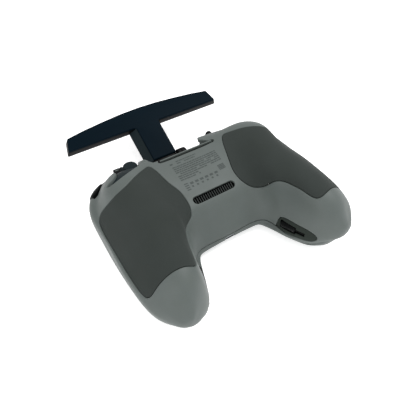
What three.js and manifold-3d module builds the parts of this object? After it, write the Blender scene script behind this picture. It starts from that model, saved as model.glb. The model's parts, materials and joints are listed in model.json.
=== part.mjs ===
// Radio transmitter controller for a camera drone, lying on its front with the T-shaped
// antenna opened out.  Millimetres.  +X across the grips, +Y towards the antenna, +Z out
// of the back.  The sticks are stowed in the grips; the gimbals face the ground.
import * as THREE from 'three';
import { mergeVertices } from 'three/addons/utils/BufferGeometryUtils.js';
import Module from 'manifold-3d';

const wasm = await Module();
wasm.setup();

// ---- driving dimensions -------------------------------------------------------------
const SHIFT_Y = 0.979;          // puts the middle of the overall length on the origin
const WALL = 3.0;               // shell thickness
const GAP = 0.3;                // clearance between neighbouring pieces
const PAD_DEPTH = 1.3;          // thickness of the rubber grip skins
const FRONT_FACE = 5;           // height of the flat front face above the ground

// Cross-sections of the body from the centre line to the grip tip: seventeen points each,
// from the inner edge (hand side of the U) over the back to the outer edge and round the
// floor.
const SECTIONS = [
  [[0, -58.1, 11.6], [0, -51.6, 20.6], [0, -44.5, 30.9], [0, -35.9, 39.7],
    [0, -22.2, 44], [0, -4.5, 48.2], [0, 12.7, 50.7], [0, 22.5, 50],
    [0, 28.1, 43.5], [0, 29.8, 29], [0, 26.6, 13.3], [0, 20, 6],
    [0, 3.9, 5], [0, -15.9, 5], [0, -35.7, 4.9],
    [0, -52, 4.3], [0, -58.5, 6.7]],
  [[22.4, -57.7, 11.4], [22.7, -52, 20.3], [22.8, -45, 30.9], [22.3, -37.2, 39.8],
    [22, -23.3, 44.3], [21.9, -5.3, 48.7], [21.9, 13, 50.8], [22, 22.8, 49.2],
    [21.9, 28.4, 43.5], [22, 30.2, 29], [22, 27.1, 13.3], [22, 20.4, 5.9],
    [22, 4, 5], [22, -16, 5], [22, -36, 4.9],
    [22, -52.6, 3.8], [22, -59.2, 6.8]],
  [[34.9, -62, 11.7], [35.9, -57.5, 24.4], [36, -49.9, 38.8], [35.6, -40.7, 46.2],
    [36.7, -24.2, 49.1], [39.3, -4.9, 52.6], [42.7, 13.9, 53.6], [44.7, 24.4, 46.9],
    [45.5, 29.1, 42], [46, 32.4, 29], [45.5, 29.8, 13.1], [44.4, 22.4, 5.5],
    [41.7, 4.8, 5], [38.3, -16.5, 5], [34.8, -37.8, 4.8],
    [31.9, -55.5, 3], [31.1, -62, 7.6]],
  [[39, -71.9, 12.7], [40.4, -66.5, 28.7], [41.3, -59.6, 43.1], [42.4, -50.2, 52.7],
    [46.9, -31.2, 56.2], [52.9, -9.7, 58.5], [60.4, 11.9, 56.9], [64.1, 22.8, 46.7],
    [65.6, 27.1, 40.1], [67.1, 32.4, 29], [66.3, 30.3, 12.8], [63.8, 21.7, 5.1],
    [57.8, 2.5, 5], [50.5, -20.7, 5.1], [43.2, -44, 4.8],
    [37.1, -63.2, 3.3], [35.1, -70.3, 7.9]],
  [[39.7, -78.3, 13.2], [42.3, -72.9, 29.8], [44.1, -67.1, 44.1], [47.4, -56.7, 55.1],
    [55.4, -38.5, 59.3], [65.2, -17.8, 59.7], [75.5, 3, 54.4], [78.9, 13.7, 42.6],
    [82.2, 19.2, 38.7], [84.9, 23.4, 30], [84.5, 21.3, 12.8], [79.8, 13, 4.9],
    [70.9, -5.7, 4.6], [60.3, -28.3, 4.6], [49.6, -50.8, 4.5],
    [40.4, -69.2, 4.1], [37.3, -76.4, 7.6]],
  [[40.8, -84.6, 13.8], [43.9, -80.2, 30.6], [46.4, -75.1, 44.9], [51.1, -65.9, 55.8],
    [60.4, -50.1, 59.4], [70.9, -32.5, 56.5], [79.8, -15, 47.4], [85.7, -4.6, 40.2],
    [88.9, -0.2, 36.1], [93.5, 2.9, 31], [92.1, 0.3, 12.1], [88.4, -5.7, 3.4],
    [78.2, -21.8, 1.9], [65.9, -41.3, 2], [53.6, -60.7, 2],
    [43.7, -76.7, 3.6], [40.4, -82.8, 6.8]],
  [[42.8, -90.5, 14.8], [45.2, -87.5, 30.3], [47.8, -83.9, 44.3], [52.9, -77.1, 55.8],
    [62.1, -65.7, 59.3], [72.4, -52.8, 56.4], [82.3, -39.9, 48], [88.4, -32.1, 40.7],
    [91.6, -28.9, 36.9], [93.3, -27, 31.5], [92.7, -28.9, 10.9], [89.8, -33.4, 2.3],
    [79.7, -45.1, -0.4], [67.6, -59.2, -0.4], [55.5, -73.4, -0.3],
    [46.2, -85.1, 3.2], [44.2, -88.8, 6.4]],
  [[45.2, -96.3, 15.8], [47, -94.7, 29.4], [49.5, -92.6, 42.5], [54.6, -88.3, 54.2],
    [63.2, -81.2, 58.5], [73.1, -73.1, 56.2], [83, -65, 48.5], [89.2, -60.2, 41.3],
    [92.5, -58.2, 38.2], [93.5, -57, 31.5], [91.6, -58.1, 11.6], [88.7, -60.9, 4.5],
    [79.9, -68.3, 0.7], [68.5, -77.3, 0.5], [57, -86.2, 0.6],
    [47.7, -92.4, 5], [47, -94.5, 7.7]],
  [[48, -102.1, 17.8], [49.4, -101.6, 29], [51.6, -100.4, 40.1], [56.3, -97.8, 50.4],
    [64.2, -93.8, 55.6], [73.2, -89.2, 54.4], [82.5, -84.6, 48.1], [88.4, -81.9, 40.9],
    [91.3, -80.8, 37.7], [92.4, -80, 30.5], [89.5, -80.5, 14.5], [86.7, -81.8, 10.2],
    [78.9, -86.3, 6.2], [69, -91.9, 5.1], [58.8, -97.6, 4.4],
    [50.1, -100.8, 8.3], [48.9, -100.6, 11.5]],
  [[52.5, -107.8, 21.3], [53.8, -108, 29.5], [56, -107.5, 36.6], [59.8, -106.3, 44.1],
    [65.5, -104.4, 48.7], [72.7, -102.1, 48.5], [79.5, -100, 44.8], [84.2, -99.4, 40.3],
    [87.8, -98.8, 35.2], [88.5, -97.7, 29.5], [85.6, -97.2, 18.4], [83.2, -97.7, 16.9],
    [76.9, -100.2, 13.2], [69.3, -103.9, 11.7], [61.1, -107.8, 10.2],
    [54.2, -108.2, 15.3], [53, -106.8, 17]],
  [[59.3, -112.8, 24.4], [60.9, -113.4, 28.5], [62.8, -113.3, 32.6], [65.2, -112.9, 36.7],
    [67.5, -112.2, 38.6], [70.7, -111.4, 38.7], [73.9, -111.1, 36.9], [77.4, -110.9, 34.5],
    [79.6, -110.4, 31.5], [80.3, -109.8, 28], [79.2, -109.2, 24.5], [76.9, -109.2, 21.6],
    [73.1, -110.1, 19.7], [69.1, -111.5, 19], [64.9, -112.3, 19.2], [61.7, -112.5, 20.4],
    [60, -112.6, 22.2]],
];
const GRIP_TIP = [71.5, -115.7, 28.2];

// ---- body surface -------------------------------------------------------------------
const mirrorRing = (ring) => ring.map(([x, y, z]) => [-x, y, z]);
const poleRing = (point, count) => Array.from({ length: count }, () => [...point]);

function throughPole(ring, pole) {
  return ring.map((p, i) => p.map((v, k) => 2 * pole[i][k] - v));
}

function extended(rings) {
  const last = rings.length - 1;
  return [throughPole(rings[1], rings[0]), ...rings,
    throughPole(rings[last - 1], rings[last])];
}

// a ring half way from the last section to the tip, on a round nose
function tipRing(last) {
  const tip = new THREE.Vector3(...GRIP_TIP);
  const axis = new THREE.Vector3();
  const middle = new THREE.Vector3();
  last.forEach((p, j) => {
    const next = new THREE.Vector3(...last[(j + 1) % last.length]).sub(tip);
    axis.add(new THREE.Vector3(...p).sub(tip).cross(next));
    middle.add(new THREE.Vector3(...p).sub(tip));
  });
  axis.normalize().multiplyScalar(-Math.sign(axis.dot(middle)));
  return last.map((p) => {
    const away = new THREE.Vector3(...p).sub(tip);
    const depth = axis.clone().multiplyScalar(away.dot(axis));
    return tip.clone().addScaledVector(away.sub(depth), 0.5).addScaledVector(depth, 0.25)
      .toArray();
  });
}

// control net of a bicubic B-spline that passes through every section point
function controlNet() {
  const right = SECTIONS.map((ring) => ring.map((p) => [...p]));
  right.push(tipRing(right[right.length - 1]));
  const count = right[0].length;
  const left = right.slice(1).map(mirrorRing).reverse();
  const target = [poleRing([-GRIP_TIP[0], GRIP_TIP[1], GRIP_TIP[2]], count),
    ...left, ...right, poleRing(GRIP_TIP, count)];
  let net = target.map((ring) => ring.map((p) => [...p]));
  for (let pass = 0; pass < 12; pass += 1) {
    const wide = extended(net);
    const along = net.map((ring, i) => ring.map((p, j) => p.map((v, k) =>
      (wide[i][j][k] + 4 * wide[i + 1][j][k] + wide[i + 2][j][k]) / 6)));
    net = net.map((ring, i) => ring.map((p, j) => p.map((v, k) => {
      const before = along[i][(j + count - 1) % count][k];
      const after = along[i][(j + 1) % count][k];
      return v + target[i][j][k] - (before + 4 * along[i][j][k] + after) / 6;
    })));
    net[0] = target[0].map((p) => [...p]);
    net[net.length - 1] = target[target.length - 1].map((p) => [...p]);
  }
  return extended(net);
}

const cubicWeights = (t) => [(1 - t) ** 3, 3 * t ** 3 - 6 * t ** 2 + 4,
  -3 * t ** 3 + 3 * t ** 2 + 3 * t + 1, t ** 3].map((w) => w / 6);

const NET = controlNet();

function surfaceGrid(alongSteps, roundSteps) {
  const count = NET[0].length;
  const spans = NET.length - 3;
  const rows = [];
  for (let s = 0; s <= spans * alongSteps; s += 1) {
    const k = Math.min(Math.floor(s / alongSteps), spans - 1);
    const w = cubicWeights(s / alongSteps - k);
    const ring = NET[0].map((_, j) => [0, 1, 2].map((axis) =>
      w.reduce((sum, weight, i) => sum + weight * NET[k + i][j][axis], 0)));
    const row = [];
    for (let f = 0; f < count * roundSteps; f += 1) {
      const j = Math.floor(f / roundSteps);
      const v = cubicWeights(f / roundSteps - j);
      row.push(new THREE.Vector3(...[0, 1, 2].map((axis) => v.reduce((sum, weight, i) =>
        sum + weight * ring[(j - 1 + i + count) % count][axis], 0))));
    }
    rows.push(row);
  }
  return rows;
}

// closed solid of the body surface, moved inwards by `inset`
function bodySolid(inset, alongSteps, roundSteps) {
  const rows = surfaceGrid(alongSteps, roundSteps);
  const columns = rows[0].length;
  const last = rows.length - 1;
  const points = [rows[0][0].clone()];
  for (let i = 1; i < last; i += 1) {
    for (let j = 0; j < columns; j += 1) {
      const across = new THREE.Vector3().subVectors(
        rows[i][(j + 1) % columns], rows[i][(j + columns - 1) % columns]);
      const along = new THREE.Vector3().subVectors(rows[i + 1][j], rows[i - 1][j]);
      const inward = across.cross(along).normalize();
      points.push(rows[i][j].clone().addScaledVector(inward, inset));
    }
  }
  points.push(rows[last][0].clone());
  const tipIn = inset * 1.1;
  points[0].add(new THREE.Vector3(tipIn * 0.25, tipIn, tipIn * 0.1));
  points[points.length - 1].add(new THREE.Vector3(-tipIn * 0.25, tipIn, tipIn * 0.1));
  const at = (i, j) => 1 + (i - 1) * columns + (j % columns);
  const faces = [];
  for (let j = 0; j < columns; j += 1) {
    faces.push([0, at(1, j), at(1, j + 1)]);
    faces.push([points.length - 1, at(last - 1, j + 1), at(last - 1, j)]);
    for (let i = 1; i < last - 1; i += 1) {
      faces.push([at(i, j), at(i + 1, j), at(i + 1, j + 1)]);
      faces.push([at(i, j), at(i + 1, j + 1), at(i, j + 1)]);
    }
  }
  return meshSolid(points, faces);
}

// ---- solids -------------------------------------------------------------------------
function meshSolid(points, faces) {
  let volume = 0;
  for (const [a, b, c] of faces) {
    volume += points[a].dot(new THREE.Vector3().crossVectors(points[b], points[c]));
  }
  const order = volume > 0 ? faces : faces.map(([a, b, c]) => [a, c, b]);
  return new wasm.Manifold(new wasm.Mesh({
    numProp: 3,
    vertProperties: new Float32Array(points.flatMap((p) => [p.x, p.y, p.z])),
    triVerts: new Uint32Array(order.flat()),
  }));
}

function solid(geometry) {
  const bare = geometry.clone();
  bare.deleteAttribute('normal');
  bare.deleteAttribute('uv');
  const merged = mergeVertices(bare, 1e-4);
  const position = merged.attributes.position;
  const points = Array.from({ length: position.count }, (_, i) =>
    new THREE.Vector3().fromBufferAttribute(position, i));
  const faces = [];
  for (let i = 0; i < merged.index.count; i += 3) {
    faces.push([0, 1, 2].map((k) => merged.index.getX(i + k)));
  }
  return meshSolid(points, faces);
}

// box between two opposite corners
function box(x0, x1, y0, y1, z0, z1) {
  const g = new THREE.BoxGeometry(x1 - x0, y1 - y0, z1 - z0);
  return solid(g.translate((x0 + x1) / 2, (y0 + y1) / 2, (z0 + z1) / 2));
}

// round bar from `low` to `high` along an axis, centred at the other two coordinates
function bar(axis, radius, low, high, a, b, sides = 24, radiusHigh = radius) {
  const g = new THREE.CylinderGeometry(radiusHigh, radius, high - low, sides);
  const mid = (low + high) / 2;
  if (axis === 'z') return solid(g.rotateX(Math.PI / 2).translate(a, b, mid));
  if (axis === 'x') return solid(g.rotateZ(-Math.PI / 2).translate(mid, a, b));
  return solid(g.translate(a, mid, b));
}

// upright prism of a plan outline
function prism(outline, z0, z1) {
  const shape = new THREE.Shape(outline.map(([x, y]) => new THREE.Vector2(x, y)));
  const g = new THREE.ExtrudeGeometry(shape, { depth: z1 - z0, bevelEnabled: false });
  return solid(g.translate(0, 0, z0));
}

const stadium = (halfLength, radius, steps = 6) => {
  const outline = [];
  for (const side of [1, -1]) {
    for (let i = 0; i <= steps; i += 1) {
      const a = -Math.PI / 2 + (Math.PI * i) / steps;
      outline.push([side * (halfLength + radius * Math.cos(a)), side * radius * Math.sin(a)]);
    }
  }
  return outline;
};

const mirrorOutline = (outline) => outline.map(([x, y]) => [-x, y]).reverse();

function grown(outline, amount) {
  const n = outline.length;
  return outline.map(([x, y], i) => {
    const [ax, ay] = outline[(i + n - 1) % n];
    const [bx, by] = outline[(i + 1) % n];
    const length = Math.hypot(bx - ax, by - ay);
    return [x + ((by - ay) / length) * amount, y - ((bx - ax) / length) * amount];
  });
}

// lathe around +Z at (x, y); the profile is closed or starts and ends on the axis
function turned(profile, x, y, sides = 32) {
  const g = new THREE.LatheGeometry(profile.map(([r, z]) => new THREE.Vector2(r, z)), sides);
  return solid(g.rotateX(Math.PI / 2).translate(x, y, 0));
}

function union(...parts) {
  return parts.reduce((all, part) => all.add(part));
}

function largest(part) {
  const pieces = part.decompose();
  return pieces.reduce((best, piece) => (piece.volume() > best.volume() ? piece : best));
}

// ---- finished meshes ----------------------------------------------------------------
const LOOKS = {
  shell: [0x6d7371, 0.55, 0],
  rubber: [0x3e4542, 0.85, 0],
  panel: [0x454b48, 0.8, 0],
  black: [0x0d0f10, 0.5, 0],
  navy: [0x081520, 0.35, 0],
  dark: [0x232d2f, 0.6, 0],
  steel: [0x8f9497, 0.35, 1],
  brass: [0xb08d4a, 0.4, 1],
  board: [0x1f4a33, 0.6, 0],
  lamp: [0xe6eef0, 0.3, 0],
  battery: [0x2b4c7e, 0.5, 0],
};

const model = new THREE.Group();
model.name = 'radio_controller';

function addPiece(name, part, look) {
  const out = part.getMesh();
  const g = new THREE.BufferGeometry();
  g.setAttribute('position', new THREE.BufferAttribute(new Float32Array(out.vertProperties), 3));
  g.setIndex(new THREE.BufferAttribute(new Uint32Array(out.triVerts), 1));
  g.translate(0, SHIFT_Y, 0);
  const [color, roughness, metalness] = LOOKS[look];
  const mesh = new THREE.Mesh(g,
    new THREE.MeshStandardMaterial({ color, roughness, metalness }));
  mesh.name = name;
  model.add(mesh);
}

// ---- body blanks --------------------------------------------------------------------
const outerBody = bodySolid(0, 2, 1).subtract(box(-120, 120, -140, 60, -10, 0));
const padFloor = bodySolid(PAD_DEPTH, 2, 1);
const padBed = bodySolid(PAD_DEPTH + GAP, 2, 1);
const TOP_WALL_Y = 13.5;        // face of the recess that holds the antenna hinge
const RECESS_HALF = 24.5;
const RECESS_LEFT = -32.5;      // the recess opens wider beside the cable duct
const hollow = bodySolid(WALL, 1, 1)
  .subtract(box(RECESS_LEFT - WALL, RECESS_HALF + WALL, TOP_WALL_Y - WALL, 60, -5, 80));

// the two shells part on a level plane
const PART_Z = 11;

// ---- grip skins ---------------------------------------------------------------------
const PAD_OUTLINE = [
  [36.8, 11.2], [33, 4.5], [29.8, -7.2], [27.8, -15], [25.2, -22.5], [24.3, -30], [25, -36.5],
  [27.5, -41], [30.8, -44.5], [36.6, -50.3], [42.3, -57.3], [45.7, -62], [48.2, -68.5],
  [50.3, -77], [52.3, -86], [54.6, -90.3], [58.5, -91], [62.5, -90.3], [70, -89.3],
  [77, -88.8], [81.8, -89.7], [85.6, -90.6], [88.6, -89.3], [89.5, -81], [89.8, -66],
  [89.9, -50], [90, -32], [90, -13], [88.5, -6.5], [84, -4.8], [77, -6.5], [70, -6],
  [62, -2.6], [52, 4.4], [45, 9.2], [40, 11.8],
];
const SIDES = [['left', -1], ['right', 1]];
const EQUATOR_Z = 33;
let shell = outerBody.subtract(hollow);
for (const [side, sign] of SIDES) {
  const outline = sign > 0 ? PAD_OUTLINE : mirrorOutline(PAD_OUTLINE);
  const skin = outerBody.subtract(padFloor).intersect(
    prism(grown(outline, -0.15), EQUATOR_Z, 80));
  addPiece(`grip_pad_${side}`, largest(skin), 'rubber');
  shell = shell.subtract(prism(grown(outline, 0.15), EQUATOR_Z - GAP, 80).subtract(padBed));
}

// ---- vent ---------------------------------------------------------------------------
const VENT = { y: -33.6, half: 16.5, radius: 3.1, floor: 37.2, face: 39 };
const slotAt = (half, radius, y, z0, z1) =>
  prism(stadium(half, radius).map(([x, v]) => [x, v + y]), z0, z1);
shell = shell.subtract(slotAt(VENT.half, VENT.radius, VENT.y, 28, 60));
let grille = slotAt(VENT.half, VENT.radius - GAP, VENT.y, VENT.floor, VENT.face + 1.2)
  .intersect(bodySolid(0.8, 2, 1));
const RIB_COUNT = 19;
for (let i = 0; i < RIB_COUNT; i += 1) {
  const x = (i - (RIB_COUNT - 1) / 2) * 1.95;
  grille = grille.subtract(box(x - 0.55, x + 0.55, VENT.y - 2, VENT.y + 2, VENT.floor + 1.3, 50));
}
addPiece('vent_grille', grille, 'black');

// ---- rounded slot and trim strip along the top edge -----------------------------------
const TRIM = { y: 11.8, x: 0.9, half: 25.6, radius: 1.9, floor: 48.2, strip: 12.3 };
shell = shell.subtract(prism(stadium(TRIM.half, TRIM.radius)
  .map(([x, v]) => [x + TRIM.x, v + TRIM.y]), TRIM.floor - GAP, 60));
addPiece('top_trim_strip', box(RECESS_LEFT + 8.2, RECESS_HALF + 2, TRIM.strip,
  TOP_WALL_Y - 0.1, TRIM.floor, 60).intersect(bodySolid(0.3, 2, 1)), 'shell');

// ---- hinge recess ---------------------------------------------------------------------
// the opening narrows towards the right shoulder above the hinge bracket
const RECESS_TOP = [[RECESS_LEFT + 2, TOP_WALL_Y], [RECESS_HALF, TOP_WALL_Y], [21, 16.8],
  [17.8, 20.2], [18.8, 24], [24.5, 33], [24.5, 60], [RECESS_LEFT, 60], [RECESS_LEFT, 17]];
shell = shell.subtract(box(RECESS_LEFT, RECESS_HALF, TOP_WALL_Y, 60, -5, 44))
  .subtract(prism(RECESS_TOP, 43, 80));

// ---- stick stowage in the inner wall of each grip --------------------------------------
// the stowage frame has its x along the stick, y up the wall and z out of the wall
const STOW = {
  origin: [42.04, -85.54, 18.06],
  along: [0.285, -0.95, 0.128],
  out: [-0.9496, -0.2614, 0.1731],
  liner: [[-15.8, -5.8], [-15.3, -3], [-14.4, 2], [-12.6, 5.4], [-9.5, 6.9], [-3, 7.5], [4, 7.2],
    [11, 7.1], [17.1, 6], [21, 3.8], [21.9, 0.8], [19.2, -2.8], [14.4, -4.9], [8.4, -5.9],
    [0, -5.9], [-8, -5.9]],
  depth: 8,
};
const STICK = { start: -11.1, shoulder: 2.9, end: 11, head: 3, shaft: 1.3, sink: 2.6 };

function stowMatrix(sign) {
  const along = new THREE.Vector3(sign * STOW.along[0], STOW.along[1], STOW.along[2]);
  const out = new THREE.Vector3(sign * STOW.out[0], STOW.out[1], STOW.out[2]);
  along.normalize();
  out.addScaledVector(along, -out.dot(along)).normalize();
  const up = new THREE.Vector3().crossVectors(out, along);
  return new THREE.Matrix4().makeBasis(along, up, out)
    .setPosition(sign * STOW.origin[0], STOW.origin[1], STOW.origin[2]);
}

for (const [side, sign] of SIDES) {
  const place = stowMatrix(sign);
  const put = (part) => part.transform(place.elements);
  const outline = sign > 0 ? STOW.liner.map(([a, b]) => [a, b])
    : STOW.liner.map(([a, b]) => [a, -b]);
  const ordered = THREE.ShapeUtils.isClockWise(outline.map(([x, y]) => ({ x, y })))
    ? outline.slice().reverse() : outline;
  const block = (amount, low, high) => put(prism(grown(ordered, amount), low, high));
  const pocket = union(
    box(STICK.start - 0.5, STICK.shoulder + 0.5, -3.5, 3.5, -STICK.sink - 3.4, 8),
    box(STICK.shoulder, STICK.end + 0.5, -1.8, 1.8, -STICK.sink - 1.8, 8));
  const liner = block(0, -STOW.depth, 6).intersect(bodySolid(0.25, 2, 1)).subtract(put(pocket))
    .subtract(box(-120, 120, -140, 60, -10, PART_Z + 2 * GAP));
  addPiece(`stow_liner_${side}`, largest(liner), 'panel');
  shell = shell.subtract(block(GAP, -STOW.depth - GAP, 8));
  const stick = union(
    bar('x', STICK.head, STICK.start, STICK.shoulder, 0, -STICK.sink, 16),
    bar('x', STICK.shaft, STICK.shoulder - 0.5, STICK.end, 0, -STICK.sink, 12));
  addPiece(`control_stick_${side}`, put(stick), 'black');
}

// ---- shoulder controls -----------------------------------------------------------------
const WINDOW_RIGHT = [[36, 29.5], [56, 24.5], [68, 20.5], [71, 23], [66, 45], [36, 45]];
const WINDOW_LEFT = [[38.5, 19.5], [42.2, 15.9], [44.6, 13.9], [47.7, 11.8], [51.3, 9.4],
  [55.3, 6.9], [59, 4.9], [64.2, 2.7], [68.9, 1.5], [72.4, 1.7], [74.4, 2.7], [74.2, 4],
  [72.2, 4.4], [68.8, 5.6], [65.3, 8.4], [63, 11.8], [62.2, 16], [62.6, 20], [66, 24],
  [66, 45], [38.5, 45]];
const WINDOW_Z = 31;
const DIAL = { x: 47, y: 24, radius: 6.2, low: 42.7, high: 47.6 };
const LEVER = { x0: 54, x1: 60, y0: 24, y1: 33.4, z0: 38.6, z1: 42, travel: 2.5, drop: 2.8, foot: 3 };
const KEY = { x: 37.2, radius: 3.2, z: 38.9, y0: 27, y1: 35.2, travel: 1.2 };
const TRIGGER = { x: 80, y: 22, facing: [0.47, 0.88], front: 9, back: 6, room: 3 };
// trigger outline seen along its travel: across, height
const TRIGGER_FACE = [[-7, 18], [7, 18], [7, 37.4], [3.5, 39.2], [0, 40.2], [-3.5, 40.4], [-7, 39.9]];
const innerSkin = bodySolid(4.6, 2, 1);
const recessed = bodySolid(2, 2, 1).subtract(innerSkin);

function triggerPrism(sign, grow) {
  const length = Math.hypot(...TRIGGER.facing);
  const [fx, fy] = TRIGGER.facing.map((part) => part / length);
  const back = TRIGGER.back + (grow ? TRIGGER.room : 0);
  const [low, high] = sign > 0 ? [-TRIGGER.front, back] : [-back, TRIGGER.front];
  const across = new THREE.Vector3(sign * fy, -fx, 0);
  const up = new THREE.Vector3(0, 0, 1);
  const place = new THREE.Matrix4().makeBasis(across, up, across.clone().cross(up))
    .setPosition(sign * TRIGGER.x, TRIGGER.y, 0);
  return prism(grown(TRIGGER_FACE, grow), low, high).transform(place.elements);
}

for (const [side, sign] of SIDES) {
  const outline = sign > 0 ? WINDOW_RIGHT : mirrorOutline(WINDOW_LEFT);
  const drop = sign > 0 ? LEVER.drop : 0;
  const reach = (x0, x1, ...rest) => (sign > 0 ? box(x0, x1, ...rest) : box(-x1, -x0, ...rest));
  shell = shell.subtract(prism(grown(outline, GAP), WINDOW_Z - GAP, 60));
  const slide = LEVER.travel + 0.4;
  const leverStart = LEVER.x0 - (sign > 0 ? 0 : LEVER.foot);
  let room = reach(leverStart - slide, LEVER.x1 + slide, LEVER.y0 - 0.5, 60,
    LEVER.z0 - drop - 0.4, LEVER.z1 - drop + 0.4);
  const lever = reach(leverStart, LEVER.x1, LEVER.y0, LEVER.y1, LEVER.z0 - drop, LEVER.z1 - drop);
  if (side === 'left') {
    room = room.add(bar('z', DIAL.radius + 0.4, DIAL.low - 0.4, DIAL.high + 0.4,
      -DIAL.x, DIAL.y, 32));
    addPiece('gimbal_dial', bar('z', DIAL.radius, DIAL.low, DIAL.high,
      -DIAL.x, DIAL.y, 32), 'dark');
    addPiece('mode_switch_lever', lever, 'black');
  } else {
    room = room.add(bar('y', KEY.radius + 0.3, KEY.y0 - KEY.travel - 0.3, 60, KEY.x, KEY.z, 24));
    addPiece('pause_button', bar('y', KEY.radius, KEY.y0, KEY.y1, KEY.x, KEY.z, 24), 'black');
    addPiece('c2_switch_lever', lever, 'black');
  }
  const panel = recessed.intersect(prism(outline, WINDOW_Z, 60)).subtract(room)
    .subtract(triggerPrism(sign, GAP));
  shell = shell.subtract(room);
  addPiece(`shoulder_panel_${side}`, largest(panel), 'dark');
  shell = shell.subtract(triggerPrism(sign, GAP));
  const trigger = triggerPrism(sign, 0).intersect(
    bodySolid(-0.8, 2, 1).subtract(bodySolid(2.2, 2, 1)));
  addPiece(side === 'left' ? 'start_stop_button' : 'shutter_button', largest(trigger), 'black');
}

addPiece('rear_shell', largest(shell.subtract(box(-120, 120, -140, 60, -10, PART_Z + GAP / 2))),
  'shell');

// ---- front shell, gimbal openings, keys, port -----------------------------------------
const GIMBAL = { x: 47, y: -16 };
const POWER = { y: -28, radius: 6, face: 4.6, travel: 1.2 };
const CUSTOM = { y: -43, radius: 4.2, face: 4.6, travel: 1 };
const PORT = { half: 4.45, z0: 6.7, z1: 9.7, y0: -58.6, y1: -52 };
const LIGHTS = { y: -18, half: 1.5, pitch: 6 };
const SCREWS = [[17, 5], [-17, 5], [17, -45], [-17, -45]];

let tray = outerBody.subtract(hollow)
  .subtract(box(RECESS_LEFT, RECESS_HALF, TOP_WALL_Y, 60, -5, 80))
  .subtract(box(-120, 120, -140, 60, PART_Z - GAP / 2, 90));
for (const [side, sign] of SIDES) {
  const x = sign * GIMBAL.x;
  tray = tray.subtract(bar('z', 19.8, -5, 20, x, GIMBAL.y, 28));
  tray = tray.subtract(bar('z', 23.8, -5, 4.9, x, GIMBAL.y, 28));
  addPiece(`gimbal_bezel_${side}`, turned([[23.2, 0.6], [23.2, 4.5], [19.3, 4.5],
    [19.3, 9], [14.6, 9], [15, 8.2], [19.2, 1.2], [20, 0], [22.6, 0], [23.2, 0.6]],
  x, GIMBAL.y, 28), 'black');
  const cup = turned([[0, 31.5], [0, 29.9], [17.2, 29.9], [17.2, 9.5], [18.6, 9.5],
    [18.6, 31.5], [0, 31.5]], x, GIMBAL.y, 24);
  addPiece(`gimbal_housing_${side}`, cup, 'dark');
  const yoke = union(
    turned([[12.3, 18], [15.3, 18], [15.3, 22], [12.3, 22], [12.3, 18]], x, GIMBAL.y, 20),
    bar('x', 1.3, x + 15, x + 16.9, GIMBAL.y, 20, 8),
    bar('x', 1.3, x - 16.9, x - 15, GIMBAL.y, 20, 8));
  addPiece(`gimbal_yoke_${side}`, yoke, 'steel');
  const dome = [[0, 20.8], [11.2, 20.8], [11.2, 20]];
  for (let i = 1; i <= 5; i += 1) {
    const a = (i / 5) * 1.36;
    dome.push([11.2 * Math.cos(a), 20 - 11.2 * Math.sin(a)]);
  }
  dome.push([2.3, 3.2], [1.7, 2.4], [0, 2.4], [0, 20.8]);
  const post = union(turned(dome, x, GIMBAL.y, 20),
    bar('y', 1.2, GIMBAL.y + 10, GIMBAL.y + 12, x, 20, 10),
    bar('y', 1.2, GIMBAL.y - 12, GIMBAL.y - 10, x, 20, 10));
  addPiece(`gimbal_post_${side}`, post, 'black');
}
tray = tray.subtract(bar('z', POWER.radius + GAP, -5, 20, 0, POWER.y, 20));
tray = tray.subtract(bar('z', CUSTOM.radius + GAP, -5, 20, 0, CUSTOM.y, 20));
addPiece('power_button', turned([[0, POWER.face], [5.2, POWER.face], [6, POWER.face + 0.6],
  [6, 8.4], [7.4, 8.4], [7.4, 9.6], [0, 9.6], [0, POWER.face]], 0, POWER.y, 20), 'black');
addPiece('c1_button', turned([[0, CUSTOM.face], [3.6, CUSTOM.face], [4.2, CUSTOM.face + 0.5],
  [4.2, 8.4], [5, 8.5], [5, 9.6], [0, 9.6], [0, CUSTOM.face]], 0, CUSTOM.y, 20), 'dark');
tray = tray.subtract(box(-PORT.half - GAP, PORT.half + GAP, -70, PORT.y1 + GAP,
  PORT.z0 - GAP, PORT.z1 + GAP));
const portMouth = box(-PORT.half + 0.5, PORT.half - 0.5, -70, PORT.y1 - 1,
  PORT.z0 + 0.5, PORT.z1 - 0.5).subtract(box(-3.1, 3.1, -57.8, PORT.y1, 7.85, 8.55));
addPiece('usb_port', box(-PORT.half, PORT.half, PORT.y0, PORT.y1, PORT.z0, PORT.z1)
  .subtract(portMouth), 'steel');
for (let i = 0; i < 4; i += 1) {
  const x = (i - 1.5) * LIGHTS.pitch;
  const lens = (grow, z0, z1) => box(x - LIGHTS.half - grow, x + LIGHTS.half + grow,
    LIGHTS.y - 0.9 - grow, LIGHTS.y + 0.9 + grow, z0, z1);
  tray = tray.subtract(lens(0.25, -5, 20));
  addPiece(`charge_light_${i + 1}`, lens(0, 5.3, 9.4), 'lamp');
}
SCREWS.forEach(([x, y], i) => {
  tray = tray.subtract(bar('z', 2.7, -5, 6.6, x, y, 12)).subtract(bar('z', 1.5, 0, 20, x, y, 10));
  addPiece(`shell_screw_${i + 1}`, turned([[0, 5.2], [2.3, 5.2], [2.3, 6.3], [1.2, 6.3],
    [1.2, 16], [0, 16.6], [0, 5.2]], x, y, 10), 'steel');
});
addPiece('front_shell', largest(tray), 'shell');

// lanyard loop on the front face near the hand side
const loop = turned([[0, 3.8], [6, 3.8], [6, 4.7], [0, 4.7], [0, 3.8]], 0, 3, 24)
  .add(box(-4.6, -3, 1.8, 4.2, 1.4, 4.2)).add(box(3, 4.6, 1.8, 4.2, 1.4, 4.2))
  .add(box(-4.6, 4.6, 1.8, 4.2, 1, 2.2));
addPiece('lanyard_loop', loop, 'dark');

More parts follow.
